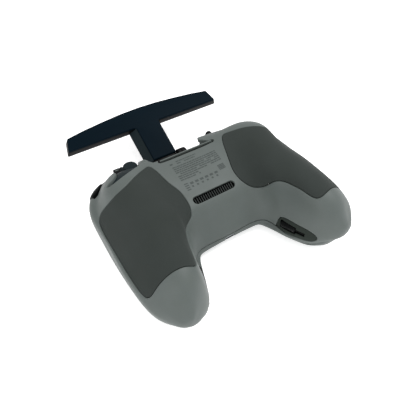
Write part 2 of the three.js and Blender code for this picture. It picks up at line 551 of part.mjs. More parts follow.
// ---- antenna ---------------------------------------------------------------------------
// antenna frame: x across, v outwards along the stem, n out of the label side
const ANTENNA = {
  tilt: 24.8 * (Math.PI / 180), y: 56.6, z: 13.7, thick: 8.6, lid: 1.8, wall: 1.6,
  axis: { v: -8, n: -5 }, barrel: 4.4, bore: 2,
};
const STEM = { left: -12.4, right: 12.8, start: -1 };
const BAR_EDGE = [[15, 38.5], [48, 38.5], [80.6, 38.5], [82, 40], [78.6, 50.6], [76.6, 52],
  [60, 54.7], [40, 56.8], [20, 58.5], [0, 59.05]];
const T_OUTLINE = [[STEM.left, STEM.start], [STEM.right, STEM.start], [STEM.right, 36.4],
  ...BAR_EDGE, ...BAR_EDGE.slice(0, -1).reverse().map(([x, v]) => [-x, v]),
  [STEM.left, 36.4]];
const T_HOLLOW_EDGE = [[10.8, 40.3], [77, 40.3], [75.5, 49.6], [58, 52.8], [30, 55.6], [0, 57]];
const T_HOLLOW = [[-10.6, 1.5], [10.8, 1.5], ...T_HOLLOW_EDGE,
  ...T_HOLLOW_EDGE.slice(1, -1).reverse().map(([x, v]) => [-x, v]), [-10.6, 40.3]];
const cosTilt = Math.cos(ANTENNA.tilt);
const sinTilt = Math.sin(ANTENNA.tilt);
const antennaPlace = new THREE.Matrix4().set(
  1, 0, 0, 0,
  0, cosTilt, -sinTilt, ANTENNA.y,
  0, sinTilt, cosTilt, ANTENNA.z,
  0, 0, 0, 1);
const putAntenna = (part) => part.transform(antennaPlace.elements);
// the ends and the hand side of the bar lean out towards the front
const DRAFT = { end: 0.28, hand: 0.14 };
const leanOut = (vert) => {
  if (Math.abs(vert[0]) > 70) vert[0] += Math.sign(vert[0]) * DRAFT.end * -vert[2];
  if (Math.abs(vert[0]) > 14 && vert[1] < 41) vert[1] -= DRAFT.hand * -vert[2];
};
const tPlate = (n0, n1, grow = 0) =>
  putAntenna(prism(grow ? grown(T_OUTLINE, grow) : T_OUTLINE, n0, n1).warp(leanOut));
const axisY = ANTENNA.y + ANTENNA.axis.v * cosTilt - ANTENNA.axis.n * sinTilt;
const axisZ = ANTENNA.z + ANTENNA.axis.v * sinTilt + ANTENNA.axis.n * cosTilt;

addPiece('antenna_rear_cover', tPlate(-ANTENNA.lid, 0), 'navy');
const bore = bar('x', ANTENNA.bore, -30, 30, axisY, axisZ, 20);
const web = putAntenna(box(STEM.left, STEM.right, ANTENNA.axis.v, 1, -ANTENNA.thick,
  -ANTENNA.lid - GAP));
const frontCover = tPlate(-ANTENNA.thick, -ANTENNA.lid - GAP)
  .subtract(putAntenna(prism(T_HOLLOW, -ANTENNA.thick + ANTENNA.wall, 2)))
  .add(web).add(bar('x', ANTENNA.barrel, -13.2, 13.2, axisY, axisZ, 28)).subtract(bore);
addPiece('antenna_front_cover', largest(frontCover), 'black');
for (const [side, sign] of SIDES) {
  const element = [[2, 3], [8, 3], [8, 41.5], [74, 41.5], [72, 48.5], [40, 52.5], [2, 54]];
  const outline = sign > 0 ? element : mirrorOutline(element);
  addPiece(`antenna_element_${side}`, putAntenna(prism(outline, -4.4, -3.4)), 'board');
}
// slanted duct along one side of the stem
const DUCT = { foot: -20.5, start: -1.5, end: 39, deep: 7 };
const ductShape = new THREE.Shape([[STEM.left - GAP, -0.3], [DUCT.foot, -DUCT.deep],
  [STEM.left - GAP, -DUCT.deep]].map(([x, n]) => new THREE.Vector2(x, n)));
const ductGeometry = new THREE.ExtrudeGeometry(ductShape,
  { depth: DUCT.end - DUCT.start, bevelEnabled: false });
ductGeometry.rotateX(Math.PI / 2).scale(1, 1, 1);
ductGeometry.applyMatrix4(new THREE.Matrix4().set(
  1, 0, 0, 0,
  0, -1, 0, DUCT.start,
  0, 0, 1, 0,
  0, 0, 0, 1));
addPiece('antenna_cable_duct', largest(putAntenna(solid(ductGeometry))
  .subtract(tPlate(-ANTENNA.thick - 1, 1, GAP))), 'dark');

// ---- hinge bracket and pin -----------------------------------------------------------------
let bracket = box(-23.4, 23.4, TOP_WALL_Y + GAP, 23.6, 9, 34);
for (const sign of [-1, 1]) {
  const inner = sign > 0 ? 13.6 : -23.2;
  bracket = bracket.add(box(inner, inner + 9.6, 23, axisY, 6.6, 10.2))
    .add(bar('x', 4.6, inner, inner + 9.6, axisY, axisZ, 28));
}
const KNUCKLE = { y: 53, z: 10.6, radius: 5.5 };   // rounded cover beside the stem
bracket = bracket.add(box(-23.4, 23.4, 23, 45, 9, 13))
  .add(bar('x', KNUCKLE.radius, 13.2, 22.6, KNUCKLE.y, KNUCKLE.z, 28)).subtract(bore);
addPiece('hinge_bracket', bracket, 'black');
addPiece('hinge_pin', bar('x', ANTENNA.bore - GAP, -22.8, 22.8, axisY, axisZ, 16), 'steel');

// ---- inside ------------------------------------------------------------------------------
addPiece('main_board', box(-26, 26, -48, 9.8, 17.4, 19)
  .subtract(union(...SCREWS.map(([x, y]) => bar('z', 1.8, 10, 30, x, y, 12)))), 'board');
addPiece('battery_pack', box(-26, 26, -38, 9.8, 19.6, 31), 'battery');
addPiece('power_switch', box(-3, 3, POWER.y - 3, POWER.y + 3, 12.2, 17.1), 'steel');
addPiece('c1_switch', box(-2.5, 2.5, CUSTOM.y - 1.5, CUSTOM.y + 2.5, 12.2, 17.1), 'steel');
let sink = box(-18, 18, -33, -21, 31.6, 36);
for (let i = 0; i < 7; i += 1) {
  const x = (i - 3) * 4.8;
  sink = sink.subtract(box(x - 1.2, x + 1.2, -40, -18, 32.8, 40));
}
addPiece('heat_sink', sink, 'steel');
addPiece('radio_board', box(-17, 17, -18, 9.8, 32.6, 34), 'board');
addPiece('vibration_motor', bar('z', 6, 16, 30, -68, -66, 24), 'steel');
addPiece('speaker', bar('z', 8, 14, 18, 68, -62, 24), 'black');

export default model;
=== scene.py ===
"""Looks of a hand-held radio controller with its T antenna opened, seen from behind.

Lengths in this script are millimetres in the part's own frame, with y measured from the
middle of the body; make() turns them into metres in the frame of the CAD model.
"""

import json
import math

import bpy
import numpy as np
from mathutils import Matrix, Vector
from mathutils.bvhtree import BVHTree
from mathutils.geometry import tessellate_polygon


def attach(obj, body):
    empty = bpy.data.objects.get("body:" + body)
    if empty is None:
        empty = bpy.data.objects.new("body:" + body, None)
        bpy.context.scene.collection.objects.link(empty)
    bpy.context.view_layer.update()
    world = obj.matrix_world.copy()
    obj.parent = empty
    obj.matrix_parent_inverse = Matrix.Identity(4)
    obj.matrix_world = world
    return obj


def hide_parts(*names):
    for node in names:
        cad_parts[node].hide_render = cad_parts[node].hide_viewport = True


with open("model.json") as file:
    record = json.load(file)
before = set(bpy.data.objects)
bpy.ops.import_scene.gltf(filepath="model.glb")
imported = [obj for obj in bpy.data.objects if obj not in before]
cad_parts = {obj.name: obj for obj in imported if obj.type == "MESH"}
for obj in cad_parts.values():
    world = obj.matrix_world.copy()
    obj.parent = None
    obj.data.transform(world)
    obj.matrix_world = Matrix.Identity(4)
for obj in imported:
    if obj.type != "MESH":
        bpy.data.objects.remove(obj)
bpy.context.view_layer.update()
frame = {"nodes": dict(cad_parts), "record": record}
NODES = frame["nodes"]

MM = 0.001
SHIFT_Y = .979
SIDES = (("left", -1), ("right", 1))

# ---------------------------------------------------------------------------------------
# body surface: sections from the centre line to the grip tip, joined by a bicubic spline
# ---------------------------------------------------------------------------------------
# Seventeen points round the right half's sections: inner edge, back, outer edge, floor.
SECTIONS = [
    ((0, -58.1, 11.6), (0, -51.6, 20.6), (0, -44.5, 30.9), (0, -35.9, 39.7), (0, -22.2, 44),
     (0, -4.5, 48.2), (0, 12.7, 50.7), (0, 22.5, 50), (0, 28.1, 43.5), (0, 29.8, 29), (0, 26.6, 13.3),
     (0, 20, 6), (0, 3.9, 5), (0, -15.9, 5), (0, -35.7, 4.9), (0, -52, 4.3), (0, -58.5, 6.7)),
    ((22.4, -57.7, 11.4), (22.7, -52, 20.3), (22.8, -45, 30.9), (22.3, -37.2, 39.8), (22, -23.3, 44.3),
     (21.9, -5.3, 48.7), (21.9, 13, 50.8), (22, 22.8, 49.2), (21.9, 28.4, 43.5), (22, 30.2, 29),
     (22, 27.1, 13.3), (22, 20.4, 5.9), (22, 4, 5), (22, -16, 5), (22, -36, 4.9), (22, -52.6, 3.8),
     (22, -59.2, 6.8)),
    ((34.9, -62, 11.7), (35.9, -57.5, 24.4), (36, -49.9, 38.8), (35.6, -40.7, 46.2),
     (36.7, -24.2, 49.1), (39.3, -4.9, 52.6), (42.7, 13.9, 53.6), (44.7, 24.4, 46.9), (45.5, 29.1, 42),
     (46, 32.4, 29), (45.5, 29.8, 13.1), (44.4, 22.4, 5.5), (41.7, 4.8, 5), (38.3, -16.5, 5),
     (34.8, -37.8, 4.8), (31.9, -55.5, 3), (31.1, -62, 7.6)),
    ((39, -71.9, 12.7), (40.4, -66.5, 28.7), (41.3, -59.6, 43.1), (42.4, -50.2, 52.7),
     (46.9, -31.2, 56.2), (52.9, -9.7, 58.5), (60.4, 11.9, 56.9), (64.1, 22.8, 46.7),
     (65.6, 27.1, 40.1), (67.1, 32.4, 29), (66.3, 30.3, 12.8), (63.8, 21.7, 5.1), (57.8, 2.5, 5),
     (50.5, -20.7, 5.1), (43.2, -44, 4.8), (37.1, -63.2, 3.3), (35.1, -70.3, 7.9)),
    ((39.7, -78.3, 13.2), (42.3, -72.9, 29.8), (44.1, -67.1, 44.1), (47.4, -56.7, 55.1),
     (55.4, -38.5, 59.3), (65.2, -17.8, 59.7), (75.5, 3, 54.4), (78.9, 13.7, 42.6), (82.2, 19.2, 38.7),
     (84.9, 23.4, 30), (84.5, 21.3, 12.8), (79.8, 13, 4.9), (70.9, -5.7, 4.6), (60.3, -28.3, 4.6),
     (49.6, -50.8, 4.5), (40.4, -69.2, 4.1), (37.3, -76.4, 7.6)),
    ((40.8, -84.6, 13.8), (43.9, -80.2, 30.6), (46.4, -75.1, 44.9), (51.1, -65.9, 55.8),
     (60.4, -50.1, 59.4), (70.9, -32.5, 56.5), (79.8, -15, 47.4), (85.7, -4.6, 40.2),
     (88.9, -0.2, 36.1), (93.5, 2.9, 31), (92.1, 0.3, 12.1), (88.4, -5.7, 3.4), (78.2, -21.8, 1.9),
     (65.9, -41.3, 2), (53.6, -60.7, 2), (43.7, -76.7, 3.6), (40.4, -82.8, 6.8)),
    ((42.8, -90.5, 14.8), (45.2, -87.5, 30.3), (47.8, -83.9, 44.3), (52.9, -77.1, 55.8),
     (62.1, -65.7, 59.3), (72.4, -52.8, 56.4), (82.3, -39.9, 48), (88.4, -32.1, 40.7),
     (91.6, -28.9, 36.9), (93.3, -27, 31.5), (92.7, -28.9, 10.9), (89.8, -33.4, 2.3),
     (79.7, -45.1, -0.4), (67.6, -59.2, -0.4), (55.5, -73.4, -0.3), (46.2, -85.1, 3.2),
     (44.2, -88.8, 6.4)),
    ((45.2, -96.3, 15.8), (47, -94.7, 29.4), (49.5, -92.6, 42.5), (54.6, -88.3, 54.2),
     (63.2, -81.2, 58.5), (73.1, -73.1, 56.2), (83, -65, 48.5), (89.2, -60.2, 41.3),
     (92.5, -58.2, 38.2), (93.5, -57, 31.5), (91.6, -58.1, 11.6), (88.7, -60.9, 4.5),
     (79.9, -68.3, 0.7), (68.5, -77.3, 0.5), (57, -86.2, 0.6), (47.7, -92.4, 5), (47, -94.5, 7.7)),
    ((48, -102.1, 17.8), (49.4, -101.6, 29), (51.6, -100.4, 40.1), (56.3, -97.8, 50.4),
     (64.2, -93.8, 55.6), (73.2, -89.2, 54.4), (82.5, -84.6, 48.1), (88.4, -81.9, 40.9),
     (91.3, -80.8, 37.7), (92.4, -80, 30.5), (89.5, -80.5, 14.5), (86.7, -81.8, 10.2),
     (78.9, -86.3, 6.2), (69, -91.9, 5.1), (58.8, -97.6, 4.4), (50.1, -100.8, 8.3),
     (48.9, -100.6, 11.5)),
    ((52.5, -107.8, 21.3), (53.8, -108, 29.5), (56, -107.5, 36.6), (59.8, -106.3, 44.1),
     (65.5, -104.4, 48.7), (72.7, -102.1, 48.5), (79.5, -100, 44.8), (84.2, -99.4, 40.3),
     (87.8, -98.8, 35.2), (88.5, -97.7, 29.5), (85.6, -97.2, 18.4), (83.2, -97.7, 16.9),
     (76.9, -100.2, 13.2), (69.3, -103.9, 11.7), (61.1, -107.8, 10.2), (54.2, -108.2, 15.3),
     (53, -106.8, 17)),
    ((59.3, -112.8, 24.4), (60.9, -113.4, 28.5), (62.8, -113.3, 32.6), (65.2, -112.9, 36.7),
     (67.5, -112.2, 38.6), (70.7, -111.4, 38.7), (73.9, -111.1, 36.9), (77.4, -110.9, 34.5),
     (79.6, -110.4, 31.5), (80.3, -109.8, 28), (79.2, -109.2, 24.5), (76.9, -109.2, 21.6),
     (73.1, -110.1, 19.7), (69.1, -111.5, 19), (64.9, -112.3, 19.2), (61.7, -112.5, 20.4),
     (60, -112.6, 22.2)),
]
GRIP_TIP = (71.5, -115.7, 28.2)
MIRROR = np.array([-1.0, 1, 1])


def extended(net):
    return np.concatenate([2 * net[:1] - net[1:2], net, 2 * net[-1:] - net[-2:-1]])


def tip_ring(last, tip):
    """A ring half way to the tip, on a round nose."""
    axis = np.cross(last - tip, np.roll(last, -1, 0) - tip).sum(0)
    axis *= np.sign(axis @ (tip - last.mean(0))) / np.linalg.norm(axis)
    away = last - tip
    depth = (away @ axis)[:, None] * axis
    return tip + (away - depth) * .5 + depth * .25


def control_net():
    right = np.array(SECTIONS, float)
    tip = np.array(GRIP_TIP, float)
    count = right.shape[1]
    right = np.concatenate([right, [tip_ring(right[-1], tip)]])
    target = np.concatenate([np.tile(tip * MIRROR, (1, count, 1)), (right[1:] * MIRROR)[::-1],
                             right, np.tile(tip, (1, count, 1))])
    net = target.copy()
    for _ in range(12):
        wide = extended(net)
        along = (wide[:-2] + 4 * wide[1:-1] + wide[2:]) / 6
        net = net + target - (np.roll(along, 1, 1) + 4 * along + np.roll(along, -1, 1)) / 6
        net[0], net[-1] = target[0], target[-1]
    return extended(net)


NET = control_net()
SPANS = NET.shape[0] - 3
RING = NET.shape[1]


def weights(t):
    return np.stack([(1 - t) ** 3, 3 * t ** 3 - 6 * t ** 2 + 4,
                     -3 * t ** 3 + 3 * t ** 2 + 3 * t + 1, t ** 3]) / 6


def on_surface(param):
    """Points of the body surface at an (n, 2) array of places along and round it."""
    s, f = param[:, 0], param[:, 1]
    k = np.clip(np.floor(s).astype(int), 0, SPANS - 1)
    j = np.floor(f).astype(int)
    ws, wf = weights(s - k), weights(f - j)
    out = np.zeros((len(param), 3))
    for a in range(4):
        for b in range(4):
            out += (ws[a] * wf[b])[:, None] * NET[k + a, (j - 1 + b) % RING]
    return out


def outward(param):
    """Unit normals of the body surface."""
    e = 1e-3
    s = np.clip(param[:, 0], .02, SPANS - .02)
    f = param[:, 1]
    ds = on_surface(np.stack([s + e, f], 1)) - on_surface(np.stack([s - e, f], 1))
    df = on_surface(np.stack([s, f + e], 1)) - on_surface(np.stack([s, f - e], 1))
    n = np.cross(ds, df)
    n /= np.linalg.norm(n, axis=1)[:, None] + 1e-12
    pole = np.minimum(param[:, 0], SPANS - param[:, 0]) < .02
    side = np.where(param[:, 0] > SPANS / 2, 1.0, -1.0)
    n[pole] = np.stack([.28 * side, np.full_like(side, -.96), 0 * side], 1)[pole]
    return n


def base_grid(along, around):
    rows, columns = SPANS * along + 1, RING * around + 1
    s, f = np.meshgrid(np.linspace(0, SPANS, rows), np.linspace(0, RING, columns), indexing="ij")
    at = np.arange(rows * columns).reshape(rows, columns)
    a, b, c, d = at[:-1, :-1].ravel(), at[1:, :-1].ravel(), at[1:, 1:].ravel(), at[:-1, 1:].ravel()
    return np.stack([s.ravel(), f.ravel()], 1), np.concatenate(
        [np.stack([a, b, c], 1), np.stack([a, c, d], 1)])


def keys_of(a, b, count):
    return np.minimum(a, b) * count + np.maximum(a, b)


def refined(param, faces, flagged):
    """Splits the flagged triangles in four and their neighbours to match."""
    count = len(param)
    edge = [(faces[:, i], faces[:, (i + 1) % 3]) for i in range(3)]
    keys = np.stack([keys_of(a, b, count) for a, b in edge], 1)
    split = np.unique(keys[flagged].ravel())
    middle = (param[split // count] + param[split % count]) / 2
    place = np.searchsorted(split, keys)
    place = np.clip(place, 0, len(split) - 1)
    has = split[place] == keys
    mid = np.where(has, place + count, -1)
    out = [faces[~has.any(1)]]
    for t, m in zip(faces[has.any(1)], mid[has.any(1)]):
        cuts = int((m >= 0).sum())
        if cuts == 3:
            out.append([[t[0], m[0], m[2]], [m[0], t[1], m[1]], [m[2], m[1], t[2]], [m[0], m[1], m[2]]])
            continue
        i = int(np.argmax(m >= 0)) if cuts == 1 else (int(np.argmin(m >= 0)) + 1) % 3
        a, b, c = t[i], t[(i + 1) % 3], t[(i + 2) % 3]
        m0, m1 = m[i], m[(i + 1) % 3]
        out.append([[a, m0, c], [m0, b, c]] if cuts == 1 else [[a, m0, c], [m0, m1, c], [m0, b, m1]])
    return np.concatenate([param, middle]), np.concatenate([np.asarray(o).reshape(-1, 3) for o in out])


def sliced(param, faces, value, level):
    """Cuts every triangle that the level line of value crosses, along that line."""
    count = len(param)
    v = value - level
    v[np.abs(v) < 1e-4] = 0
    sign = np.sign(v)[faces]
    crossing = (sign.min(1) < 0) & (sign.max(1) > 0)
    made, new_param, new_value = {}, [], []

    def cut(a, b):
        key = (min(a, b), max(a, b))
        if key not in made:
            lo, hi = key
            t = v[lo] / (v[lo] - v[hi])
            made[key] = count + len(new_param)
            new_param.append(param[lo] + (param[hi] - param[lo]) * t)
            new_value.append(level)
        return made[key]

    out = [faces[~crossing]]
    for t, s in zip(faces[crossing].tolist(), sign[crossing].tolist()):
        if 0 in s:
            i = s.index(0)
            a, b, c = t[i], t[(i + 1) % 3], t[(i + 2) % 3]
            m = cut(b, c)
            out.append([[a, b, m], [a, m, c]])
            continue
        lone = 1 if sum(s) < 0 else -1
        i = s.index(lone)
        a, b, c = t[i], t[(i + 1) % 3], t[(i + 2) % 3]
        m, n = cut(a, b), cut(a, c)
        out.append([[a, m, n], [m, b, c], [m, c, n]])
    if new_param:
        param = np.concatenate([param, new_param])
        value = np.concatenate([value, new_value])
    return param, np.concatenate([np.asarray(o).reshape(-1, 3) for o in out]), value


def welded(points, extra, faces, tolerance=2e-3):
    """Joins vertices that share a place and drops faces that vanish."""
    key = np.round(points / tolerance).astype(np.int64)
    _, first, inverse = np.unique(key, axis=0, return_index=True, return_inverse=True)
    inverse = inverse.ravel()
    f = inverse[faces]
    f = f[(f[:, 0] != f[:, 1]) & (f[:, 1] != f[:, 2]) & (f[:, 2] != f[:, 0])]
    used, f = np.unique(f, return_inverse=True)
    return points[first][used], extra[first][used], f.reshape(-1, 3)


def with_thickness(points, normals, faces, thickness):
    """Closed body between a skin and its copy moved inwards."""
    count = len(points)
    a = np.concatenate([faces[:, 0], faces[:, 1], faces[:, 2]])
    b = np.concatenate([faces[:, 1], faces[:, 2], faces[:, 0]])
    rim = ~np.isin(a * count + b, b * count + a)
    a, b = a[rim], b[rim]
    walls = np.concatenate([np.stack([b, a, a + count], 1), np.stack([b, a + count, b + count], 1)])
    return (np.concatenate([points, points - normals * thickness]),
            np.concatenate([faces, faces[:, ::-1] + count, walls]))


# ---------------------------------------------------------------------------------------
# outlines and distances
# ---------------------------------------------------------------------------------------
def polygon_distance(x, y, outline):
    """Signed distance to a plan outline, negative inside."""
    p = np.asarray(outline, float)
    best = np.full(len(x), 1e9)
    inside = np.zeros(len(x), bool)
    for (ax, ay), (bx, by) in zip(p, np.roll(p, -1, 0)):
        dx, dy = bx - ax, by - ay
        t = np.clip(((x - ax) * dx + (y - ay) * dy) / (dx * dx + dy * dy), 0, 1)
        best = np.minimum(best, np.hypot(x - ax - t * dx, y - ay - t * dy))
        if ay != by:
            inside ^= ((ay > y) != (by > y)) & (x < (bx - ax) * (y - ay) / (by - ay) + ax)
    return np.where(inside, -best, best)


def box_distance(u, v, u0, u1, v0, v1):
    du = np.abs(u - (u0 + u1) / 2) - (u1 - u0) / 2
    dv = np.abs(v - (v0 + v1) / 2) - (v1 - v0) / 2
    return np.hypot(np.maximum(du, 0), np.maximum(dv, 0)) + np.minimum(np.maximum(du, dv), 0)


def stadium_distance(x, y, cx, cy, half, radius):
    return np.hypot(np.maximum(np.abs(x - cx) - half, 0), y - cy) - radius


def rounded(outline, passes=3, keep=.25):
    """Cuts the corners of a closed outline, again and again."""
    p = np.asarray(outline, float)
    for _ in range(passes):
        q = np.roll(p, -1, 0)
        p = np.stack([p + (q - p) * keep, p + (q - p) * (1 - keep)], 1).reshape(-1, 2)
    return p


PADS = {1: rounded([
    (36.8, 11.2), (33, 4.5), (29.4, -7.2), (27.2, -15), (25, -22.5), (24.6, -30), (25.6, -35.5),
    (27.8, -40.3), (31, -44.2), (36.6, -49.6), (42.3, -56.7), (46, -61.3), (48.4, -67), (50.7, -76.3),
    (52.6, -86), (54.8, -91), (58.5, -92.2), (62.5, -91.6), (70, -90), (77, -88.8), (81.8, -89.7),
    (85.6, -90.6), (88.6, -89.3), (89.5, -81), (89.8, -66), (89.9, -50), (90, -32), (90, -13),
    (88.5, -6.5), (84, -4.8), (77, -5.9), (71, -4.4), (62.2, .6), (53, 5.8), (45, 9.5), (40, 11.8)], 2),
    -1: rounded([
    (35.4, 9.8), (33, 4), (31.7, -1.8), (30.7, -6.6), (29.5, -11.3), (27.4, -16.1), (25.4, -20.9),
    (24.5, -25.3), (24.4, -33.2), (24.8, -38), (26.6, -42.4), (30.5, -45.4), (34.5, -48.8), (38, -53.2),
    (40.2, -57.5), (42.2, -62), (44.2, -68.5), (46.4, -77), (48.8, -86), (52, -90.8), (56, -91.2),
    (60.1, -90.4), (68.8, -89.9), (74.3, -89.8), (78.7, -90), (82.3, -90.5), (85.6, -90.8), (88.8, -88.6),
    (90.3, -80.6), (90.9, -72), (91.3, -63.6), (91.5, -51.7), (91.5, -30), (91.2, -18), (90.5, -10.5),
    (89, -6), (86.8, -4.4), (84.3, -4.6), (81.1, -6.2), (78, -8.3), (75, -9.5), (71.6, -9.9), (67.7, -9.5),
    (63.2, -8), (58.9, -5.5), (54.3, -2.2), (49.2, 2), (45, 5.2), (41, 7.6), (37.4, 10)], 2)}
EQUATOR_Z = 33
PAD_INNER_Z = {1: 33, -1: 25}
PART_Z = 11
VENT_Y, VENT_HALF, VENT_RADIUS = -33.6, 16.5, 3.1
TRIM_X, TRIM_Y, TRIM_HALF, TRIM_RADIUS = .9, 11.8, 25.6, 1.9
TOP_WALL_Y, RECESS_LEFT, RECESS_RIGHT = 13.5, -32.5, 24.5
RECESS_TOP = [(-30.5, 13.5), (24.5, 13.5), (21, 16.8), (17.8, 20.2), (18.8, 24), (24.5, 33), (24.5, 90),
              (-32.5, 90), (-32.5, 17)]
WINDOWS = {1: [(36, 29.5), (56, 24.5), (68, 20.5), (71, 23), (66, 45), (36, 45)],
           -1: rounded([
               (38.5, 19.5), (42.2, 15.9), (44.6, 13.9), (47.7, 11.8), (51.3, 9.4), (55.3, 6.9),
               (59, 4.9), (64.2, 2.7), (68.9, 1.5), (72.4, 1.7), (74.4, 2.7), (74.2, 4), (72.2, 4.4),
               (68.8, 5.6), (65.3, 8.4), (63, 11.8), (62.2, 16), (62.6, 20), (66, 24), (66, 45),
               (38.5, 45)], 2)}
WINDOW_Z = 31
TRIGGER_X, TRIGGER_Y = 80, 22
TRIGGER_FACE = [(-7, 18), (7, 18), (7, 37.4), (3.5, 39.2), (0, 40.2), (-3.5, 40.4), (-7, 39.9)]
TRIGGER_OPENING = [(-7.3, 17.7), (7.6, 17.7), (7.6, 38), (3.8, 40.3), (0, 41.3), (-3.6, 41.5), (-7.3, 41)]
TRIGGER_FACING = np.array([.47, .88]) / math.hypot(.47, .88)
GIMBAL_X, GIMBAL_Y = 47, -16
POWER_Y, C1_Y = -28, -43
STOW_ORIGIN = np.array([42.04, -85.54, 18.06])
STOW_ALONG = np.array([.285, -.95, .128])
STOW_ALONG /= np.linalg.norm(STOW_ALONG)
STOW_OUT = np.array([-.9496, -.2614, .1731])
STOW_OUT -= STOW_OUT @ STOW_ALONG * STOW_ALONG
STOW_OUT /= np.linalg.norm(STOW_OUT)
STOW_UP = np.cross(STOW_OUT, STOW_ALONG)
LINER = rounded([
    (-15.8, -5.8), (-15.3, -3), (-14.4, 2), (-12.6, 5.4), (-9.5, 6.9), (-3, 7.5), (4, 7.2), (11, 7.1),
    (17.1, 6), (21, 3.8), (21.9, .8), (19.2, -2.8), (14.4, -4.9), (8.4, -5.9), (0, -5.9), (-8, -5.9)], 1)
STICK_START, STICK_SHOULDER, STICK_END, STICK_SINK = -11.1, 2.9, 11, 2.6


def stow_frame(points, sign):
    """Coordinates along the stowed stick, up the wall and out of it."""
    d = (points * np.array([sign, 1, 1])) - STOW_ORIGIN
    return d @ STOW_ALONG, d @ STOW_UP, d @ STOW_OUT


def pad_field(p, sign):
    floor = np.where(sign * p[:, 0] < 60, PAD_INNER_Z[sign], EQUATOR_Z)
    return np.maximum(polygon_distance(sign * p[:, 0], p[:, 1], PADS[sign]), floor - p[:, 2])


def vent_field(p):
    outline = stadium_distance(p[:, 0], p[:, 1], 0, VENT_Y, VENT_HALF, VENT_RADIUS)
    return np.maximum(outline, 30 - p[:, 2])


def trim_field(p):
    outline = stadium_distance(p[:, 0], p[:, 1], TRIM_X, TRIM_Y, TRIM_HALF, TRIM_RADIUS)
    return np.maximum(outline, 40 - p[:, 2])


def recess_field(p):
    return box_distance(p[:, 0], p[:, 1], RECESS_LEFT, RECESS_RIGHT, TOP_WALL_Y, 150)


def rear_recess_field(p):
    low = np.maximum(recess_field(p), p[:, 2] - 44)
    return np.minimum(low, np.maximum(polygon_distance(p[:, 0], p[:, 1], RECESS_TOP), 43 - p[:, 2]))


def window_field(p, sign):
    return np.maximum(polygon_distance(sign * p[:, 0], p[:, 1], WINDOWS[sign]), WINDOW_Z - p[:, 2])


def trigger_field(p, sign, outline=TRIGGER_FACE):
    x, y = sign * p[:, 0] - TRIGGER_X, p[:, 1] - TRIGGER_Y
    across = x * TRIGGER_FACING[1] - y * TRIGGER_FACING[0]
    depth = x * TRIGGER_FACING[0] + y * TRIGGER_FACING[1]
    flat = polygon_distance(across, p[:, 2], outline)
    return np.maximum(flat, np.abs(depth) - 9)


def stow_field(p, sign):
    u, v, n = stow_frame(p, sign)
    return np.max([polygon_distance(u, v, LINER), np.abs(n) - 10, PART_Z + .6 - p[:, 2]], axis=0)


def pocket_field(p, sign):
    u, v, n = stow_frame(p, sign)
    head = box_distance(u, v, STICK_START - .5, STICK_SHOULDER + .5, -3.5, 3.5)
    shaft = box_distance(u, v, STICK_SHOULDER, STICK_END + .5, -1.8, 1.8)
    return np.maximum(np.minimum(head, shaft), np.abs(n) - 10)


def rear_field(p):
    gap = .15
    fields = [p[:, 2] - PART_Z - gap, vent_field(p), trim_field(p), rear_recess_field(p)]
    for _, sign in SIDES:
        fields += [pad_field(p, sign) - gap, window_field(p, sign) - .3,
                   trigger_field(p, sign, TRIGGER_OPENING) - .3, stow_field(p, sign) - .3]
    return np.min(fields, axis=0)


def gimbal_distance(p, sign, radius):
    return np.hypot(p[:, 0] - sign * GIMBAL_X, p[:, 1] - GIMBAL_Y) - radius


SCREWS = ((17, 5), (-17, 5), (17, -45), (-17, -45))


def front_field(p):
    holes = [gimbal_distance(p, 1, 23.8), gimbal_distance(p, -1, 23.8),
             np.hypot(p[:, 0], p[:, 1] - POWER_Y) - 6.3, np.hypot(p[:, 0], p[:, 1] - C1_Y) - 4.5]
    holes += [np.hypot(p[:, 0] - x, p[:, 1] - y) - 2.7 for x, y in SCREWS]
    holes += [box_distance(p[:, 0], p[:, 1], x - 1.75, x + 1.75, -19.15, -16.85) for x in (-9, -3, 3, 9)]
    port = np.maximum(box_distance(p[:, 0], p[:, 2], -4.75, 4.75, 6.4, 10), p[:, 1] + 50)
    floor_holes = np.maximum(np.min(holes, axis=0), p[:, 2] - 12)
    return np.min([PART_Z - .15 - p[:, 2], recess_field(p), floor_holes, port], axis=0)


# ---------------------------------------------------------------------------------------
# materials
# ---------------------------------------------------------------------------------------
def linear(c):
    return tuple((v / 12.92 if v <= .04045 else ((v + .055) / 1.055) ** 2.4) for v in
                 (x / 255 for x in c)) + (1,)


def set_inputs(node, values):
    for socket, value in values.items():
        node.inputs[socket].default_value = value


